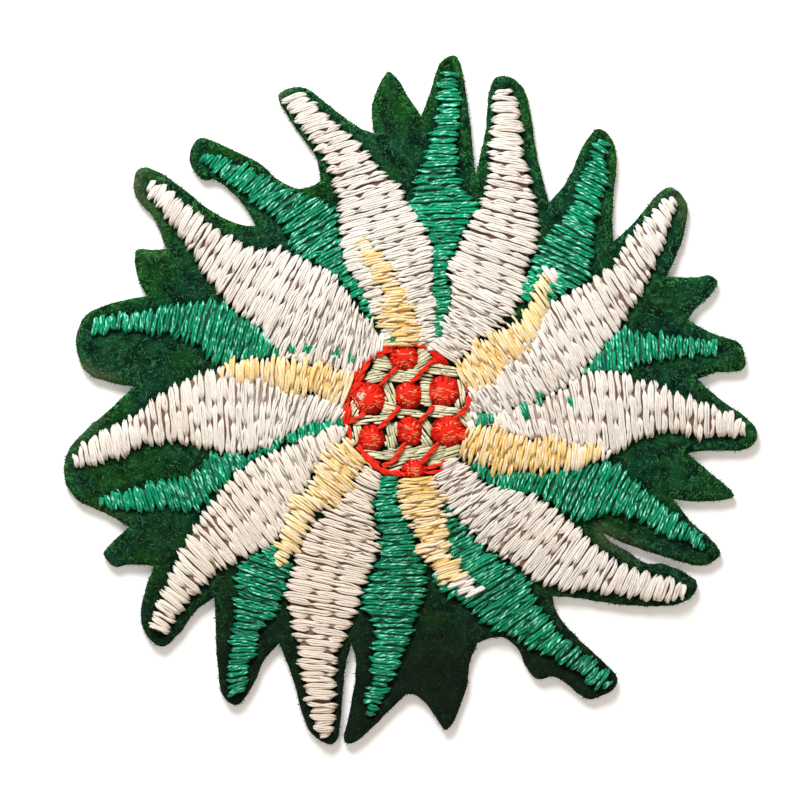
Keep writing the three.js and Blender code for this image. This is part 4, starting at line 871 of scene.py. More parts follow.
def underlay(rows, colour, covers):
    """A surface a little under the stitches, seen through their needle holes and darkened as painted shade:
    points, quads and tone.
    """
    inset = UNDER_INSET[colour]
    rows = [row for row in rows if row["width"] > UNDER_LEAST * inset]
    points = []
    for row in rows:
        share = (inset + (row["width"] - 2 * inset) * UNDER_SHARES) / row["width"]
        flat = row["left"] + (row["right"] - row["left"]) * share[:, None]
        rise = field_rise(share, row["width"], HEIGHTS[colour], 0) - UNDER_DEPTH
        points.append(np.column_stack([flat, FELT_TOP + np.maximum(rise, UNDER_LOWEST)]))
    points = np.concatenate(points)
    quads = grid_quads(len(rows), len(UNDER_SHARES))
    middles = points[quads].mean(1)[:, :2]
    hidden = np.any([contains(cover, middles) for cover in covers], axis=0)
    quads = quads[~hidden]
    face_up(points, quads)
    tones = UNDER_PAINTED_SHADE_MIDDLE[colour], UNDER_PAINTED_SHADE[colour]
    return points, quads, np.interp(lengths_of(points[:, :2]), (LOOSE_TO, LOOSE_FROM), tones)


# Felt

# Distance between two points on the cut edge
EDGE_STEP = 0.28
# The face sinks at the cut edge and beside the stitches, over a width and to a depth
EDGE_SINK = (0.45, 0.32)
STITCH_SINK = (0.7, 0.3)
# Bumps of the cut edge, the face, the back and the cut side as height, width and seed of the noise
EDGE_BUMPS = (0.05, 0.55, 3)
FACE_BUMPS = [(0.06, 1.3, 5), (0.035, 0.45, 6)]
BACK_BUMPS = (0.02, 0.7, 8)
SIDE_BUMPS = (0.08, 0.6, 9)
# Points of the face: how far apart across and up, how irregular, how far from the edge, how far in from a
# field's edge they are thinned out, and the share that stays there
GRID_ACROSS = 0.4
GRID_UP = 0.35
GRID_JITTER = 0.07
GRID_MARGIN = 0.2
HIDDEN_INSET = 0.6
HIDDEN_SHARE = 0.12
# The cut side bulges by this much at these heights, and the wool is paler this far in from it
SIDE_BULGE = 0.06
SIDE_LEVELS = (0.95, 0.45)
RIM_WIDTH = 1.2
# Loose wool: how thick a fibre is, and how many lie on the face and stand out of the cut edge, how long
# they are, how they arch or rise, how they turn and bend in radians, and how bright they are
FIBRE_RADIUS = 0.024
FIBRE_TAPER = np.array([0.6, 1.2, 1.1, 0.3])
FIBRE_LOWEST = 0.03
FACE_FIBRES = 5200
FACE_LENGTHS = (0.2, 0.6)
FACE_ARCHES = (0.01, 0.06)
FACE_BEND = 0.5
FACE_ROOT = 0.01
STITCH_MARGIN = 0.05
EDGE_MARGIN = 0.1
EDGE_FIBRES = 2400
EDGE_LENGTHS = (0.08, 0.34)
EDGE_HEIGHTS = (0.2, 1.25)
EDGE_RISES = (-0.1, 0.15)
EDGE_TURN = 0.7
EDGE_BEND = 1
EDGE_TONE = 0.9
# The wool on the face is darker at the foot of the flower, as painted shade: between which places up the
# view, and how dark
FIBRES_PAINTED_SHADE = (-24, -10)
PAINTED_SHADE_DARKEST = 0.1


def bumps(points, height, width, seed):
    return height * soft_noise(points, width, seed)


def felt_outline():
    """The cut edge of the felt, a little uneven."""
    notches = [lobe[-1] for lobe in FELT_LOBES]
    lobes = [[notches[i - 1], *lobe] for i, lobe in enumerate(FELT_LOBES)]
    line = np.concatenate([open_curve(lobe, EDGE_STEP) for lobe in lobes])
    along = np.cumsum(lengths_of(line - np.roll(line, 1, 0)))
    uneven = bumps(np.column_stack([along - along.mean(), along * 0]), *EDGE_BUMPS)
    return grown(line, uneven[:, None])


def felt_height(points, edge_gap, stitch_gap):
    """Height of the felt's top: rounded at the cut edge, pressed down by the stitches, and uneven."""
    rounded = (1 - np.minimum(edge_gap / EDGE_SINK[0], 1)) ** 2
    pressed = np.clip(1 - stitch_gap / STITCH_SINK[0], 0, 1) ** 2
    uneven = sum(bumps(points, *bump) for bump in FACE_BUMPS)
    return FELT_TOP - EDGE_SINK[1] * rounded - STITCH_SINK[1] * pressed + uneven


def gap_to_fields(points, outlines):
    """Distance from points to the nearest stitched field, 0 inside one."""
    gap = distance_to(np.concatenate(outlines), points)
    for outline in outlines:
        gap[contains(outline, points)] = 0
    return gap


def felt_grid(edge, outlines):
    """Points over the felt, close together where it shows."""
    low, high = edge.min(0), edge.max(0)
    x, y = np.meshgrid(np.arange(low[0], high[0], GRID_ACROSS), np.arange(low[1], high[1], GRID_UP))
    x[1::2] += GRID_ACROSS / 2
    points = np.column_stack([x.ravel(), y.ravel()]) + jitter(GRID_JITTER, (x.size, 2))
    points = points[contains(edge, points)]
    points = points[distance_to(edge, points) > GRID_MARGIN]
    hidden = np.any([contains(grown(outline, -HIDDEN_INSET), points) for outline in outlines], axis=0)
    return points[~hidden | (randoms.random(len(points)) < HIDDEN_SHARE)]


def felt_sheet(edge, outlines):
    """The felt as one closed mesh, and its area."""
    flat = np.concatenate([edge, felt_grid(edge, outlines)])
    ring = np.arange(len(edge))
    ring_edges = np.column_stack([ring, np.roll(ring, -1)]).tolist()
    made = delaunay_2d_cdt([Vector(p) for p in flat], ring_edges, [], 1, 1e-7)
    flat, triangles = np.array([tuple(p) for p in made[0]]), np.array(made[2])
    place = {old: new for new, olds in enumerate(made[3]) for old in olds}
    ring = np.array([place[i] for i in ring])
    face_up(flat, triangles)
    edge_gap = distance_to(flat[ring], flat)
    edge_gap[ring] = 0
    top = np.column_stack([flat, felt_height(flat, edge_gap, gap_to_fields(flat, outlines))])
    bottom = np.column_stack([flat, FELT_BOTTOM + bumps(flat, *BACK_BUMPS)])
    out = grown(flat[ring], SIDE_BULGE)
    sides = [np.column_stack([out, level + bumps(out, *SIDE_BUMPS)]) for level in SIDE_LEVELS]
    count, around = len(flat), np.arange(len(ring))
    loops = [ring, 2 * count + around, 2 * count + len(ring) + around, count + ring]
    walls = []
    for upper, lower in zip(loops, loops[1:]):
        next_upper, next_lower = np.roll(upper, -1), np.roll(lower, -1)
        walls.append(np.column_stack([upper, next_upper, lower]))
        walls.append(np.column_stack([next_upper, next_lower, lower]))
    faces = np.concatenate([triangles, triangles[:, ::-1] + count, *walls])
    rim = np.concatenate([1 - np.minimum(edge_gap / RIM_WIDTH, 1), np.zeros(count), np.ones(2 * len(ring))])
    made = add_mesh("felt_base_cloth", np.concatenate([top, bottom, *sides]), faces, None, {"rim": rim})
    return made, abs(cross2(edge, np.roll(edge, -1, 0)).sum()) / 2


def fibre(start, heading, length, bend, rise, arch, tone):
    """One loose wool fibre as a bent hair of four points."""
    t = np.linspace(0, 1, len(FIBRE_TAPER))
    steps = towards(heading + bend * t) * length / 3
    flat = start[:2] + np.concatenate([[[0, 0]], np.cumsum(steps[:3], axis=0)])
    z = np.maximum(start[2] + rise * t + arch * np.sin(np.pi * t), FIBRE_LOWEST)
    wide = FIBRE_RADIUS * FIBRE_TAPER
    return strand(flat, z, left_of(towards(heading)), wide, wide, tone)


def felt_fibres(edge, outlines):
    """Loose wool over the felt's face and out of its cut edge."""
    points = randoms.uniform(edge.min(0), edge.max(0), (FACE_FIBRES * 3, 2))
    points = points[contains(edge, points)]
    edge_gap, stitch_gap = distance_to(edge, points), gap_to_fields(points, outlines)
    shown = (stitch_gap > STITCH_MARGIN) & (edge_gap > EDGE_MARGIN)
    points, edge_gap, stitch_gap = (values[shown][:FACE_FIBRES] for values in (points, edge_gap, stitch_gap))
    made = []
    for point, z in zip(points, felt_height(points, edge_gap, stitch_gap)):
        heading, length = randoms.uniform(0, 2 * np.pi), randoms.uniform(*FACE_LENGTHS)
        bend, arch = randoms.normal(0, FACE_BEND), randoms.uniform(*FACE_ARCHES)
        # Painted shade: fibres near the foot of the flower are darker
        tone = np.interp(point[1], FIBRES_PAINTED_SHADE, (PAINTED_SHADE_DARKEST, 1)) * randoms.uniform(0, 1) ** 2
        made.append(fibre((*point, z - FACE_ROOT), heading, length, bend, 0, arch, tone))
    along = unit(np.roll(edge, -1, 0) - np.roll(edge, 1, 0))
    outward = np.arctan2(along[:, 0], -along[:, 1])
    for i in randoms.integers(0, len(edge), EDGE_FIBRES):
        heading = outward[i] + randoms.normal(0, EDGE_TURN)
        start = (*edge[i], randoms.uniform(*EDGE_HEIGHTS))
        length, bend = randoms.uniform(*EDGE_LENGTHS), randoms.normal(0, EDGE_BEND)
        rise, tone = randoms.uniform(*EDGE_RISES), randoms.uniform(0, EDGE_TONE)
        made.append(fibre(start, heading, length, bend, rise, 0, tone))
    return made


# Flower middle

# Small patches of thread, sage, red or peeking green: level over the felt, distance between two threads and
# half of a thread's width
SAGE_LAY = (0.32, 0.21, 0.125)
RED_LAY = (0.5, 0.25, 0.17)
PEEK_LAY = (0.68, 0.17, 0.1)
# How far a window for green ends is drawn in, and how far the ends go on under the white thread
PEEK_INSET = 0.02
PEEK_UNDER = 0.13
# Threads of a patch: longest one in one piece, where a longer one is cut and how far its parts overlap,
# shortest one, how it strays and bows sideways, how far its ends stray, its level, arch and dip of the
# ends, how much thinner those are, its height as a share of its width, and its tones
LONGEST_SAGE = 2.4
LONGEST_RED = 4
THREAD_CUTS = (0.35, 0.65)
THREAD_OVERLAP = 0.15
SHORTEST_THREAD = 0.35
THREAD_STRAY = 0.05
THREAD_BOW = 0.09
LOW_ENDS = (-0.15, 0.08)
HIGH_ENDS = (-0.08, 0.15)
THREAD_LEVELS = (-0.05, 0.08)
THREAD_ARCH = 0.1
THREAD_DIP = 0.3
THREAD_THIN = 0.5
THREAD_FLAT = 0.85
THREAD_TONES = (0.55, 1)
# Red dots: height and foot over the felt, how round the dome is, and its plain base, by how far it lies
# under the threads, its rings of points as shares of the radius, its sides and its tone
DOT_HEIGHT = 1.12
DOT_FOOT = -0.1
DOT_ROUND = 2.4
DOT_BASE = 0.02
DOME_SHARES = np.array([0.02, 0.3, 0.55, 0.75, 0.9, 0.99])
DOME_SIDES = 24
DOME_TONE = 0.9
# Satin threads of a dot: distance between two round it, how they stray and lean in radians, and their tones
SATIN_STEP = 0.2
SATIN_STRAY = 0.3
SATIN_LEAN = 0.25
SATIN_TONES = (0.1, 1)
# Strong ones: where they start and end as shares of the radius, half width at the dot's top, growth to its
# foot and spread of it, half height, how deep they lie and how far they arch
STRONG_STARTS = (0.55, 0.85)
STRONG_ENDS = (0.95, 1.1)
STRONG_HALF_WIDTH = 0.04
STRONG_GROWTH = 0.09
STRONG_SPREAD = (0.8, 1.2)
STRONG_HALF_HEIGHT = 0.08
STRONG_LEVEL = -0.06
STRONG_ARCH = 0.05
# Fine ones: where they start and how long they are as shares of the radius, half sizes, level, and how many
# carry a painted highlight and how strong it is
FINE_STARTS = (0.3, 0.8)
FINE_LENGTHS = (0.15, 0.4)
FINE_HALF_WIDTHS = (0.04, 0.07)
FINE_HALF_HEIGHT = 0.04
FINE_LEVEL = -0.02
FINE_PAINTED_GLINT = 0.5
FINE_PAINTED_GLINTS = (0.3, 1.2)
# Arcs across a dot: how many, their level, place up the dot and across it, half length, bend and tilt as
# shares of its radius, and how strong their painted highlights are
ARCS = 13
ARC_LEVEL = -0.015
ARC_PLACES = (-0.75, 0.3)
ARC_SHIFT = 0.45
ARC_REACHES = (0.12, 0.4)
ARC_BENDS = (-0.25, 0.1)
ARC_TILT = 0.35
ARC_PAINTED_GLINTS = (0, 0.9)
# Loose red runs: level over the felt at the rim and between the dots, distance between two points, arch,
# dip of the ends, length of one twist, how far the plies swing sideways and up and how thick they are, as
# shares of the run's half width, and their tones and their faint painted highlight
RIM_LEVEL = 0.55
SLANT_LEVEL = 0.68
RUN_STEP = 0.2
RUN_ARCH = 0.1
RUN_DIP = 0.2
TWIST = 2.4
TWIST_ACROSS = 0.5
TWIST_UP = 0.35
PLY_SHARE = 0.62
RUN_TONES = (0.6, 0.95)
RUN_PAINTED_GLINTS = (0, 0.06)
# Tufts of white lint on the left dot as place, level over the felt and number of curls, and how far the
# curls lie from the tuft's middle, how thick and large they are, how far they turn in radians, and how high
# they lie and arch
LINT_TUFTS = [(-4.6, 1.6, 0.9, 22), (-5.2, 1.1, 0.6, 7)]
MOST_CURLS = 22
LINT_SPREAD = 0.22
LINT_HALF_WIDTH = 0.035
CURL_RADII = (0.06, 0.2)
CURL_TURNS = (2, 5)
CURL_LEVELS = (0, 0.1)
CURL_ARCH = 0.05


def patch_threads(outline, angle, level, spacing, half_width, longest=LONGEST_SAGE):
    """Threads side by side in one direction over a small patch."""
    outline = np.array(outline, float)
    direction = towards(math.radians(angle))
    side = left_of(direction)
    middle = outline.mean(0)
    reach = (outline - middle) @ side
    t = np.linspace(0, 1, 9)
    from_middle = np.abs(2 * t - 1) ** 5
    made = []
    for offset in np.arange(reach.min() + spacing / 2, reach.max(), spacing):
        point = middle + side * (offset + jitter(THREAD_STRAY))
        for low, high in inside_stretches(outline, point, direction):
            low, high = low + randoms.uniform(*LOW_ENDS), high + randoms.uniform(*HIGH_ENDS)
            if high - low < SHORTEST_THREAD:
                continue
            cut = low + (high - low) * randoms.uniform(*THREAD_CUTS)
            halves = [(low, cut + THREAD_OVERLAP), (cut - THREAD_OVERLAP, high)]
            for start, end in [(low, high)] if high - low < longest else halves:
                s = start + (end - start) * t
                bow = jitter(THREAD_BOW) * np.sin(np.pi * t)
                flat = point + direction * s[:, None] + side * bow[:, None]
                z = FELT_TOP + level + randoms.uniform(*THREAD_LEVELS) + THREAD_ARCH * np.sin(np.pi * t)
                z = z - THREAD_DIP * from_middle
                wide = half_width * (1 - THREAD_THIN * from_middle)
                made.append(strand(flat, z, side, wide, wide * THREAD_FLAT, randoms.uniform(*THREAD_TONES)))
    return made


def over_dot(dot, places, lift):
    """Points over a dot's dome, at places from -1 to 1 across and up it, as flat points and heights."""
    share = np.minimum(lengths_of(places), 1)
    z = FELT_TOP + DOT_FOOT + DOT_HEIGHT * np.sqrt(np.maximum(1 - share ** DOT_ROUND, 0)) + lift
    return np.array(dot[:2]) + places * np.array(dot[2:]), z


def dot_threads(dot):
    """The satin threads of one dot: strong ones down its side, fine ones between and arcs across, with
    painted glints.
    """
    made = []
    count = round(np.pi * (dot[2] + dot[3]) / SATIN_STEP)
    t = np.linspace(0, 1, 7)
    arch = np.sin(np.pi * t)
    for i in range(2 * count):
        angle = np.pi * (i + jitter(SATIN_STRAY)) / count
        fine = i % 2 == 1
        inner = randoms.uniform(*(FINE_STARTS if fine else STRONG_STARTS))
        outer = inner + randoms.uniform(*FINE_LENGTHS) if fine else randoms.uniform(*STRONG_ENDS)
        share = inner + (outer - inner) * t
        flat = towards(angle + randoms.normal(0, SATIN_LEAN) * (1 - share)) * share[:, None]
        if fine:
            flat, z = over_dot(dot, flat, FINE_LEVEL)
            wide, high = randoms.uniform(*FINE_HALF_WIDTHS), FINE_HALF_HEIGHT
        else:
            flat, z = over_dot(dot, flat, STRONG_ARCH * arch + STRONG_LEVEL)
            wide = (STRONG_HALF_WIDTH + STRONG_GROWTH * share) * randoms.uniform(*STRONG_SPREAD)
            high = STRONG_HALF_HEIGHT
        # A pale share here is a painted highlight, toward the red thread's orange pale colour
        pale = randoms.uniform(*FINE_PAINTED_GLINTS) if fine and randoms.random() < FINE_PAINTED_GLINT else 0.0
        side = left_of(towards(angle))
        made.append(strand(flat, z, side, wide, high, randoms.uniform(*SATIN_TONES), pale * arch))
    for _ in range(ARCS):
        level, reach, bend = (randoms.uniform(*span) for span in (ARC_PLACES, ARC_REACHES, ARC_BENDS))
        across = jitter(ARC_SHIFT) + reach * (2 * t - 1)
        tilt = jitter(ARC_TILT) * (2 * t - 1) * reach
        flat, z = over_dot(dot, np.column_stack([across, level + tilt + bend * arch]), ARC_LEVEL)
        wide, tone, pale = (randoms.uniform(*span) for span in (FINE_HALF_WIDTHS, SATIN_TONES, ARC_PAINTED_GLINTS))
        made.append(strand(flat, z, (0, 1), wide, FINE_HALF_HEIGHT, tone, pale * arch))
    return made


def dot_bases():
    """Plain domes under the satin threads of the dots."""
    ring = towards(2 * np.pi * np.arange(DOME_SIDES) / DOME_SIDES)
    places = (DOME_SHARES[:, None, None] * ring).reshape(-1, 2)
    upward = grid_quads(len(DOME_SHARES), DOME_SIDES, closed=True)[:, [0, 3, 2, 1]]
    points = [np.column_stack(over_dot(dot, places, -DOT_BASE)) for dot in RED_DOTS]
    quads = [upward + number * len(places) for number in range(len(RED_DOTS))]
    return np.concatenate(points), np.concatenate(quads), DOME_TONE


def red_run(route, half_width, level):
    """A loose red thread of two plies along a route."""
    line = np.concatenate([open_curve(route, RUN_STEP), [route[-1]]])
    along = np.concatenate([[0], np.cumsum(lengths_of(np.diff(line, axis=0)))])
    t = along / along[-1]
    side = left_of(unit(np.gradient(line, axis=0)))
    phase = randoms.uniform(0, 6) + 2 * np.pi * along / TWIST
    made = []
    for turn in (0, np.pi):
        slip = TWIST_ACROSS * half_width * np.cos(phase + turn)
        z = FELT_TOP + level + RUN_ARCH * np.sin(np.pi * t) - RUN_DIP * np.abs(2 * t - 1) ** 6
        z = z + TWIST_UP * half_width * np.sin(phase + turn)
        ply = half_width * PLY_SHARE
        tone, pale = randoms.uniform(*RUN_TONES), randoms.uniform(*RUN_PAINTED_GLINTS)
        made.append(strand(line + side * slip[:, None], z, side, ply, ply, tone, pale))
    return made


def bearing(points):
    x, y = np.mean(points, axis=0)
    return math.atan2(y, x)


def peeking_threads(leaf):
    """The ends of a leaf's own thread that show between the white threads."""
    made = []
    for outline, angle in GREEN_PEEKS:
        place = bearing(outline)
        turns = [abs(math.remainder(place - bearing(each["spine"]), 2 * math.pi)) for each in GREEN_LEAVES]
        if GREEN_LEAVES[int(np.argmin(turns))] is leaf:
            made += patch_threads(grown(np.array(outline), PEEK_UNDER), angle, *PEEK_LAY)
    return made


def lint(x, y, level, curls):
    """A tuft of white lint, as small curls. Each is drawn in full, and a small one keeps its first curls."""
    t = np.linspace(0, 1, 9)
    made = []
    for _ in range(MOST_CURLS):
        side = towards(randoms.uniform(0, 6) + randoms.uniform(*CURL_TURNS) * t)
        radius = randoms.uniform(*CURL_RADII)
        flat = np.array([x, y]) + randoms.normal(0, LINT_SPREAD, 2) + radius * side
        z = FELT_TOP + level + randoms.uniform(*CURL_LEVELS) + CURL_ARCH * np.sin(np.pi * t)
        made.append(strand(flat, z, side, LINT_HALF_WIDTH, LINT_HALF_WIDTH, 1.0, 1.0))
    return made[:curls]


# Back

# On the back the bobbin thread runs along each row, and the thread of the front comes round its ends:
# height over the board, how deep the ends are in the felt, distance between two points, how irregular they
# are, half sizes of the threads, and their tones
BACK_LEVEL = 0.075
BACK_SUNK = 0.06
BACK_STEP = 0.9
BACK_STRAY = 0.06
BACK_UNEVEN = 0.01
BACK_HALF_HEIGHT = 0.05
BOBBIN_HALF_WIDTH = 0.13
FRONT_HALF_WIDTH = 0.15
BACK_TONES = (0.75, 1)
# Shortest run, how far a run stays from the row's ends, and how long the front's thread is there, as a
# share of the run, at most, and with this spread
LEAST_RUN = 0.6
RUN_INSET = 0.1
END_SHARE = 0.22
LONGEST_END = 0.7
END_SPREAD = (0.7, 1.3)
# Behind the middle: distance between two rows of the oval and of a dot, and how far inside the oval they end
MIDDLE_PITCH = 0.5
DOT_PITCH = 0.4
MIDDLE_INSET = 0.4


def back_run(row, start, end, half_width):
    """One thread on the back, from a distance along a row to another."""
    side = left_of(row["direction"])
    count = max(3, math.ceil((end - start) / BACK_STEP))
    s = np.linspace(start, end, count)
    flat = row["left"] + row["direction"] * s[:, None] + side * jitter(BACK_STRAY, (count, 1))
    z = BACK_LEVEL + jitter(BACK_UNEVEN, count)
    z[[0, -1]] = FELT_BOTTOM + BACK_SUNK
    return strand(flat, z, side, half_width, BACK_HALF_HEIGHT, randoms.uniform(*BACK_TONES))


def back_runs(rows, covers):
    """The fine white thread that locks the stitches on the back, and the ends of the front's thread there."""
    bobbin, ends = [], []
    for row in rows:
        for start, end in outside_stretches(covers, row["left"], row["direction"], row["width"]):
            start, end = max(start, RUN_INSET), min(end, row["width"] - RUN_INSET)
            if end - start < LEAST_RUN:
                continue
            turn = min(END_SHARE * (end - start), LONGEST_END) * randoms.uniform(*END_SPREAD)
            ends.append(back_run(row, start, start + turn, FRONT_HALF_WIDTH))
            ends.append(back_run(row, end - turn, end, FRONT_HALF_WIDTH))
            bobbin.append(back_run(row, start + turn, end - turn, BOBBIN_HALF_WIDTH))
    return bobbin, ends


def middle_back_runs():
    """The bobbin thread behind the flower's middle, and the ends of the red thread round the dots."""
    dots = [np.array([x, y]) + oval(radius_x, radius_y, 16) for x, y, radius_x, radius_y in RED_DOTS]
    field = {"spine": [(0, -MIDDLE[1]), (0, MIDDLE[1])], "threads": [-8, 4]}
    inner = oval(MIDDLE[0] - MIDDLE_INSET, MIDDLE[1] - MIDDLE_INSET, 40)
    bobbin, _ = back_runs(stitch_rows(field, inner, MIDDLE_PITCH), dots)
    red = []
    for (x, y, _, _), outline in zip(RED_DOTS, dots):
        field = {"spine": [(x, y - 1), (x, y + 1)], "threads": [40, 60]}
        runs, ends = back_runs(stitch_rows(field, outline, DOT_PITCH), [])
        bobbin += runs
        red += ends
    return bobbin, red


# Materials

# Colours of the threads: in shade, which the low tones of the surface under the stitches show as painted
# shade, two tones of the lit thread, its painted glints, and where it is washed out, which for white thread
# is a warmer, darker painted shade and for red thread a painted highlight, with the least and greatest
# roughness
WASHED_OUT = (0.8, 0.76, 0.7)
THREAD_LOOKS = {
    # The white thread's pale colour is a warmer, darker painted shade for the fields at the foot of the
    # flower
    "white": {
        "shade": (0.16, 0.08, 0.055), "colour": (0.83, 0.8, 0.75), "second": (0.78, 0.72, 0.65),
        "painted_glint": (0.87, 0.86, 0.82), "pale": (0.74, 0.62, 0.5), "rough": (0.7, 0.9),
    },
    "green": {
        "shade": (0.0, 0.035, 0.014), "colour": (0.001, 0.4, 0.2), "second": (0.001, 0.3, 0.13),
        "painted_glint": (0.36, 0.95, 0.75), "pale": WASHED_OUT, "rough": (0.35, 0.55),
    },
    "yellow": {
        "shade": (0.5, 0.28, 0.08), "colour": (0.92, 0.74, 0.38), "second": (0.86, 0.59, 0.19),
        "painted_glint": (0.94, 0.84, 0.6), "pale": WASHED_OUT, "rough": (0.5, 0.8),
    },
    "sage": {
        "shade": (0.05, 0.06, 0.02), "colour": (0.82, 0.8, 0.54), "second": (0.68, 0.68, 0.42),
        "painted_glint": (0.9, 0.88, 0.7), "pale": WASHED_OUT, "rough": (0.4, 0.7),
    },
    # The red thread's pale colour is an orange painted highlight
    "red": {
        "shade": (0.2, 0.0, 0.0), "colour": (0.86, 0.02, 0.006), "second": (0.8, 0.014, 0.004),
        "painted_glint": (0.95, 0.06, 0.02), "pale": (1.0, 0.42, 0.2), "rough": (0.5, 0.8),
    },
    "bobbin": {
        "shade": (0.3, 0.28, 0.25), "colour": (0.8, 0.78, 0.74), "second": (0.76, 0.74, 0.7),
        "painted_glint": (0.85, 0.84, 0.8), "pale": WASHED_OUT, "rough": (0.3, 0.6),
    },
}
THREAD_SPECULAR = 0.12
# Filaments: how many lie round a thread, how far they turn round it and how often they change a millimetre
FILAMENTS = 13.0
FILAMENT_TURNS = 4.0
FILAMENT_CHANGES = 0.7
# How far one tone's filaments lie from another's, how much they change the tone, and how much finer the
# painted glints are along and round the thread
TONE_STEP = 90.0
STREAK_SHARE = 0.7
PAINTED_GLINT_SCALES = (2.0, 0.4, 1.0)
# Spots in a metre: patches of a thread's two tones, the wool's patches, clumps, hairs and worn spots, and
# the board's grain
THREAD_PATCHES = 110.0
WOOL_PATCHES = 160.0
WOOL_CLUMPS = 650.0
WOOL_HAIRINESS = 2300.0
WORN_SPOTS = 75.0
BOARD_GRAIN = 90.0
# Relief of the filaments and of the wool as strength and height
THREAD_RELIEF = (0.8, 0.05)
WOOL_RELIEF = (0.9, 0.16)
# Colours of the felt's wool, each in two tones, and of its lighter hairs, its cut edge, worn spots and the
# painted shade at its foot
WOOL_DARK = ((0.0002, 0.009, 0.006), (0.0004, 0.013, 0.002))
WOOL_FAIR = ((0.003, 0.043, 0.02), (0.006, 0.052, 0.006))
WOOL_HAIRS = (0.03, 0.12, 0.055)
WOOL_FRINGE = (0.03, 0.19, 0.03)
WOOL_WORN = (0.12, 0.13, 0.08)
WOOL_PAINTED_SHADE = (0.005, 0.006, 0.005)
# Painted shade at the foot of the flower, in metres up the view: from where the felt gets darker to where it
# is darkest
FOOT_PAINTED_SHADE = (-0.008, -0.026)
FIBRE_COLOURS = ((0.002, 0.022, 0.009), (0.1, 0.27, 0.11))
BOARD_COLOURS = ((0.9, 0.91, 0.93), (0.94, 0.95, 0.97))
# The board glows a little: painted light that lightens the shadows on it
BOARD_PAINTED_GLOW = 0.2


def feed(tree, node, inputs):
    """Sets a node's inputs to numbers, or to the sockets that feed them."""
    for key, value in inputs.items():
        if isinstance(value, bpy.types.NodeSocket):
            tree.links.new(value, node.inputs[key])
        else:
            node.inputs[key].default_value = value


def add_node(tree, kind, inputs, **settings):
    made = tree.nodes.new(kind)
    for key, value in settings.items():
        setattr(made, key, value)
    feed(tree, made, inputs)
    return made


def maths(tree, operation, *values):
    return add_node(tree, "ShaderNodeMath", dict(enumerate(values)), operation=operation).outputs[0]


def product(tree, *values):
    return maths(tree, "MULTIPLY", *values)


def attribute(tree, name):
    return add_node(tree, "ShaderNodeAttribute", {}, attribute_name=name).outputs["Fac"]


def noise(tree, place, scale, detail, distortion=0.0):
    inputs = {"Vector": place, "Scale": scale, "Detail": detail, "Distortion": distortion}
    return add_node(tree, "ShaderNodeTexNoise", inputs).outputs["Fac"]


def stretched(tree, value, low, high):
    """A value as its share of the way from low to high."""
    inputs = {"Value": value, "From Min": low, "From Max": high}
    return add_node(tree, "ShaderNodeMapRange", inputs).outputs[0]


def mixed(tree, share, a, b):
    """A colour between a and b."""
    a, b = (value if isinstance(value, bpy.types.NodeSocket) else (*value, 1) for value in (a, b))
    made = add_node(tree, "ShaderNodeMix", {"Factor": share, 6: a, 7: b}, data_type="RGBA", clamp_factor=True)
    return made.outputs[2]


def new_material(name):
    material = bpy.data.materials.new(name)
    material.use_nodes = True
    return material, material.node_tree


def show(material, inputs):
    """Gives a material's surface its look."""
    tree = material.node_tree
    feed(tree, tree.nodes["Principled BSDF"], inputs)
    return material


def place_on(tree):
    """Where a point lies in the model, in metres."""
    return add_node(tree, "ShaderNodeTexCoord", {}).outputs["Object"]


def bumped(tree, height, strength, distance):
    inputs = {"Strength": strength, "Distance": distance * MM, "Height": height}
    return add_node(tree, "ShaderNodeBump", inputs).outputs[0]


def thread_material(name, shade, colour, second, painted_glint, pale, rough):
    """Embroidery thread: fine filaments that turn round it, a darker or lighter tone stitch by stitch, and
    painted glints.
    """
    material, tree = new_material(name)
    tone = attribute(tree, "tone")
    uv_map = add_node(tree, "ShaderNodeUVMap", {}, uv_map="thread").outputs[0]
    along, around = add_node(tree, "ShaderNodeSeparateXYZ", {0: uv_map}).outputs[:2]
    turned = maths(tree, "MULTIPLY_ADD", around, FILAMENTS, product(tree, along, FILAMENT_TURNS))
    place = {0: product(tree, along, FILAMENT_CHANGES), 1: turned, 2: product(tree, tone, TONE_STEP)}
    place = add_node(tree, "ShaderNodeCombineXYZ", place).outputs[0]
    streak = noise(tree, place, 1.0, 3.0)
    share = maths(tree, "ADD", tone, product(tree, maths(tree, "SUBTRACT", streak, 0.5), STREAK_SHARE))
    broad = stretched(tree, noise(tree, place_on(tree), THREAD_PATCHES, 2.0), 0.35, 0.65)
    body = mixed(tree, share, shade, mixed(tree, broad, colour, second))
    # Painted glints: bright spots mixed into the colour on the brighter stitches, as painted highlights
    place = add_node(tree, "ShaderNodeVectorMath", {0: place, 1: PAINTED_GLINT_SCALES}, operation="MULTIPLY")
    painted_sparks = stretched(tree, noise(tree, place.outputs[0], 1.0, 1.0), 0.57, 0.64)
    body = mixed(tree, product(tree, painted_sparks, tone), body, painted_glint)
    body = mixed(tree, attribute(tree, "pale"), body, pale)
    roughness = {"Value": streak, "To Min": rough[0], "To Max": rough[1]}
    roughness = add_node(tree, "ShaderNodeMapRange", roughness).outputs[0]
    relief = bumped(tree, streak, *THREAD_RELIEF)
    return show(material, {"Base Color": body, "Roughness": roughness, "Normal": relief,
                           "Specular IOR Level": THREAD_SPECULAR})


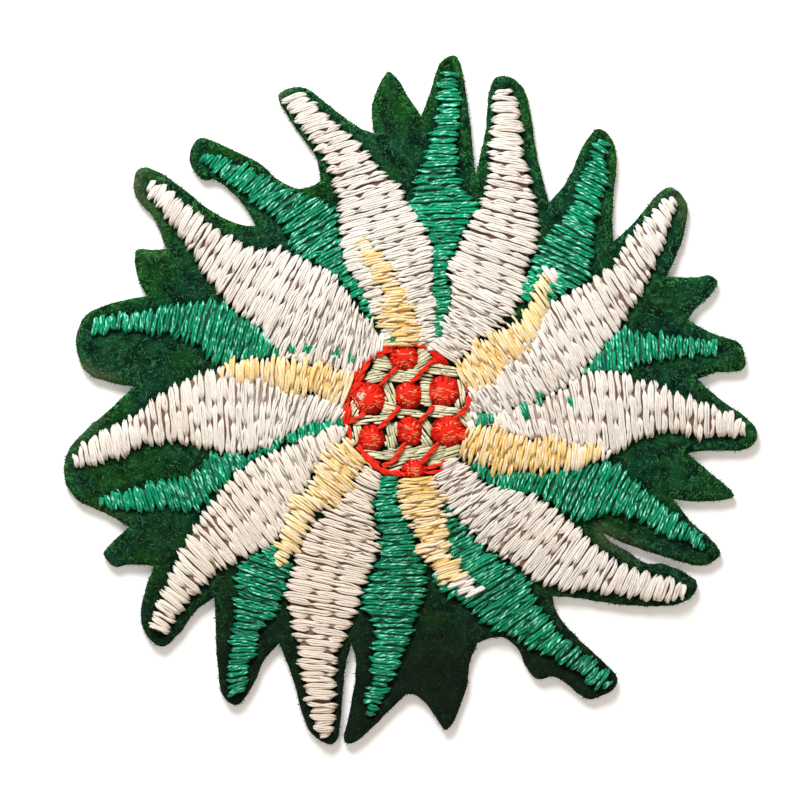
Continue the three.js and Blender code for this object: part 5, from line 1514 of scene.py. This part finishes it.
def felt_material():
    """Matted wool: dark and light green fibres in clumps, paler along the cut edge, and darker at the foot as
    painted shade.
    """
    material, tree = new_material("felt")
    place, rim = place_on(tree), attribute(tree, "rim")
    clumps = stretched(tree, noise(tree, place, WOOL_CLUMPS, 4.0), 0.38, 0.62)
    hairs = noise(tree, place, WOOL_HAIRINESS, 4.0, 1.5)
    broad = stretched(tree, noise(tree, place, WOOL_PATCHES, 2.0), 0.4, 0.6)
    light = stretched(tree, hairs, 0.5, 0.72)
    worn = stretched(tree, noise(tree, place, WORN_SPOTS, 1.0), 0.58, 0.7)
    # Painted shade: the wool darkens towards the foot of the flower
    low = stretched(tree, add_node(tree, "ShaderNodeSeparateXYZ", {0: place}).outputs[1], *FOOT_PAINTED_SHADE)
    wool = mixed(tree, clumps, mixed(tree, broad, *WOOL_DARK), mixed(tree, broad, *WOOL_FAIR))
    wool = mixed(tree, product(tree, light, 0.85), wool, WOOL_HAIRS)
    wool = mixed(tree, product(tree, product(tree, rim, light), 1.4), wool, WOOL_FRINGE)
    wool = mixed(tree, product(tree, product(tree, worn, rim), 0.6), wool, WOOL_WORN)
    wool = mixed(tree, product(tree, low, 0.85), wool, WOOL_PAINTED_SHADE)
    return show(material, {"Base Color": wool, "Roughness": 0.95, "Specular IOR Level": 0.05,
                           "Sheen Weight": 0.02, "Normal": bumped(tree, hairs, *WOOL_RELIEF)})


def fibre_material():
    """Single wool fibres, dark to light."""
    material, tree = new_material("wool_fibres")
    wool = mixed(tree, attribute(tree, "tone"), *FIBRE_COLOURS)
    return show(material, {"Base Color": wool, "Roughness": 0.8, "Specular IOR Level": 0.15})


def board_material():
    """Smooth pale board, which glows a little: painted light that lightens the shadows on it."""
    material, tree = new_material("pale_board")
    board = mixed(tree, noise(tree, place_on(tree), BOARD_GRAIN, 3.0), *BOARD_COLOURS)
    return show(material, {"Base Color": board, "Roughness": 0.8, "Emission Color": (1, 1, 1, 1),
                           "Emission Strength": BOARD_PAINTED_GLOW})


# Scene

# How far a field's cover stays in from its outline, also where white threads mingle with it, and the rim's
COVER_INSET = 0.3
MINGLED = 0.45
RIM_INSET = 0.1
# How high white and green fields stand under the colours that lie over them
WHITE_GROUND = 0.45
GREEN_GROUND = 0.3
# Lamps as name, place and width in millimetres, power in watts, and colour
LAMPS = [
    ("window", (-60, 190, 200), 130, 0.98, (1, 0.99, 0.98)),
    ("fill", (100, -200, 200), 300, 0.18, (1, 0.7, 0.4)),
]
SKY_COLOUR = (1, 0.96, 0.9, 1)
SKY_STRENGTH = 0.4
BOARD_WIDTH = 3000
BOARD_DROP = 0.02
# Camera: what it looks at, how wide its view is there, and its lens and sensor
VIEW_MIDDLE = (-0.8, 1.2)
VIEW_WIDTH = 80
LENS = 200
SENSOR = 36


def finish_piece(piece, material, slot, *nodes):
    piece.data.materials.append(material)
    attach(piece, "root")
    if nodes:
        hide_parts(*nodes)
    return piece


def build_threads(materials):
    """Every stitched field, the topmost colour first, with what lies over it cut away, and the bobbin thread.

    Returns the pieces, the outlines of what is stitched and the ends of red thread on the back.
    """
    middle = oval(*MIDDLE, 60)
    groups = [("yellow", "yellow_petal", YELLOW_PETALS), ("white", "white_petal", WHITE_PETALS),
              ("green", "green_leaf", GREEN_LEAVES)]
    outlines = {colour: [drawn_in(closed_curve(field["outline"])) for field in fields]
                for colour, _, fields in groups}
    green_ground = [(outline, GREEN_GROUND) for outline in outlines["green"]]
    white_ground = [(outline, WHITE_GROUND) for outline in outlines["white"]]
    lower = {"yellow": white_ground + green_ground, "white": green_ground, "green": []}
    windows = [grown(np.array(peek), -PEEK_INSET) for peek, _ in GREEN_PEEKS]
    covers, mingled = [grown(middle, -RIM_INSET)], []
    pieces, backs = [], []
    for colour, name, fields in groups:
        for i, (field, outline) in enumerate(zip(fields, outlines[colour]), 1):
            hard, gaps = (covers[:1], mingled + windows) if colour == "white" else (covers, [])
            stitches, rows = field_stitches(field, outline, colour, hard, gaps, lower[colour])
            bobbin, ends = back_runs(rows, covers)
            backs += bobbin
            stitches += ends
            if colour == "green":
                stitches += peeking_threads(field)
            piece = strands_mesh(f"{name}_{i}_thread", stitches, ring=5, extra=underlay(rows, colour, covers))
            pieces.append(finish_piece(piece, materials[colour], f"{colour}_thread", f"{name}_{i}"))
            covers.append(grown(outline, -COVER_INSET))
            mingled.append(grown(outline, -MINGLED))
    bobbin, red_ends = middle_back_runs()
    back = strands_mesh("bobbin_thread", backs + bobbin, ring=5)
    pieces.append(finish_piece(back, materials["bobbin"], "white_thread"))
    return pieces, [middle] + [outline for group in outlines.values() for outline in group], red_ends


def build_middle(materials, red_ends):
    """The sage bands with the lint on them, and the red dots and runs."""
    sage = [thread for outline, angle in SAGE_PATCHES for thread in patch_threads(outline, angle, *SAGE_LAY)]
    sage += [curl for tuft in LINT_TUFTS for curl in lint(*tuft)]
    bands = strands_mesh("centre_lattice_thread", sage)
    finish_piece(bands, materials["sage"], "sage_thread", "centre_lattice")
    red = [thread for dot in RED_DOTS for thread in dot_threads(dot)]
    red += patch_threads(RED_PATCH, RED_PATCH_THREADS, *RED_LAY, LONGEST_RED)
    for runs, level in ((RIM_THREADS, RIM_LEVEL), (SLANT_THREADS, SLANT_LEVEL)):
        red += [ply for route, half_width in runs for ply in red_run(route, half_width, level)]
    dots = strands_mesh("centre_red_dots_and_runs", red + red_ends, extra=dot_bases())
    finish_piece(dots, materials["red"], "red_thread", "centre_red_thread")
    return [bands, dots]


def build_felt(outlines):
    edge = felt_outline()
    felt, area = felt_sheet(edge, outlines)
    finish_piece(felt, felt_material(), "felt", "felt_base")
    wool = strands_mesh("felt_loose_wool", felt_fibres(edge, outlines), ring=3)
    finish_piece(wool, fibre_material(), "felt")


def make_floor():
    bpy.ops.mesh.primitive_plane_add(size=BOARD_WIDTH * MM, location=(0, 0, -BOARD_DROP * MM))
    floor = bpy.context.object
    floor.name = "floor"
    floor.data.materials.append(board_material())


def soft_light(name, place, size, power, colour):
    data = bpy.data.lights.new(name, "AREA")
    data.shape = "DISK"
    data.size = size * MM
    data.energy = power
    data.color = colour
    lamp = bpy.data.objects.new(name, data)
    lamp.location = Vector(place) * MM
    lamp.rotation_mode = "QUATERNION"
    lamp.rotation_quaternion = (-Vector(place)).to_track_quat("-Z", "Y")
    bpy.context.scene.collection.objects.link(lamp)


def make_light():
    for lamp in LAMPS:
        soft_light(*lamp)
    world = bpy.data.worlds.new("studio")
    bpy.context.scene.world = world
    world.use_nodes = True
    world.node_tree.nodes["Background"].inputs["Color"].default_value = SKY_COLOUR
    world.node_tree.nodes["Background"].inputs["Strength"].default_value = SKY_STRENGTH


def make_camera():
    data = bpy.data.cameras.new("camera")
    data.lens = LENS
    data.sensor_width = SENSOR
    data.clip_start = 0.01
    data.clip_end = 20
    camera = bpy.data.objects.new("camera", data)
    height = FELT_TOP + VIEW_WIDTH * LENS / SENSOR
    camera.location = Vector((*VIEW_MIDDLE, height)) * MM
    bpy.context.scene.collection.objects.link(camera)
    bpy.context.scene.camera = camera
    bpy.context.scene.view_settings.view_transform = "Standard"


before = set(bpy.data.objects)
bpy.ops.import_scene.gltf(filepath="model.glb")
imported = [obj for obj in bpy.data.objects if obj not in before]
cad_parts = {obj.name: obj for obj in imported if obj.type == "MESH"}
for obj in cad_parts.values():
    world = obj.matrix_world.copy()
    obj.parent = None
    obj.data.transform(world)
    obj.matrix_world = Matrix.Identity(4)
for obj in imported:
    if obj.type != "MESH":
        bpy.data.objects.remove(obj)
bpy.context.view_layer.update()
thread_materials = {name: thread_material(f"{name}_thread", **look) for name, look in THREAD_LOOKS.items()}
sewn, sewn_outlines, red_thread_ends = build_threads(thread_materials)
sewn += build_middle(thread_materials, red_thread_ends)
make_floor()
build_felt(sewn_outlines)
make_light()
make_camera()
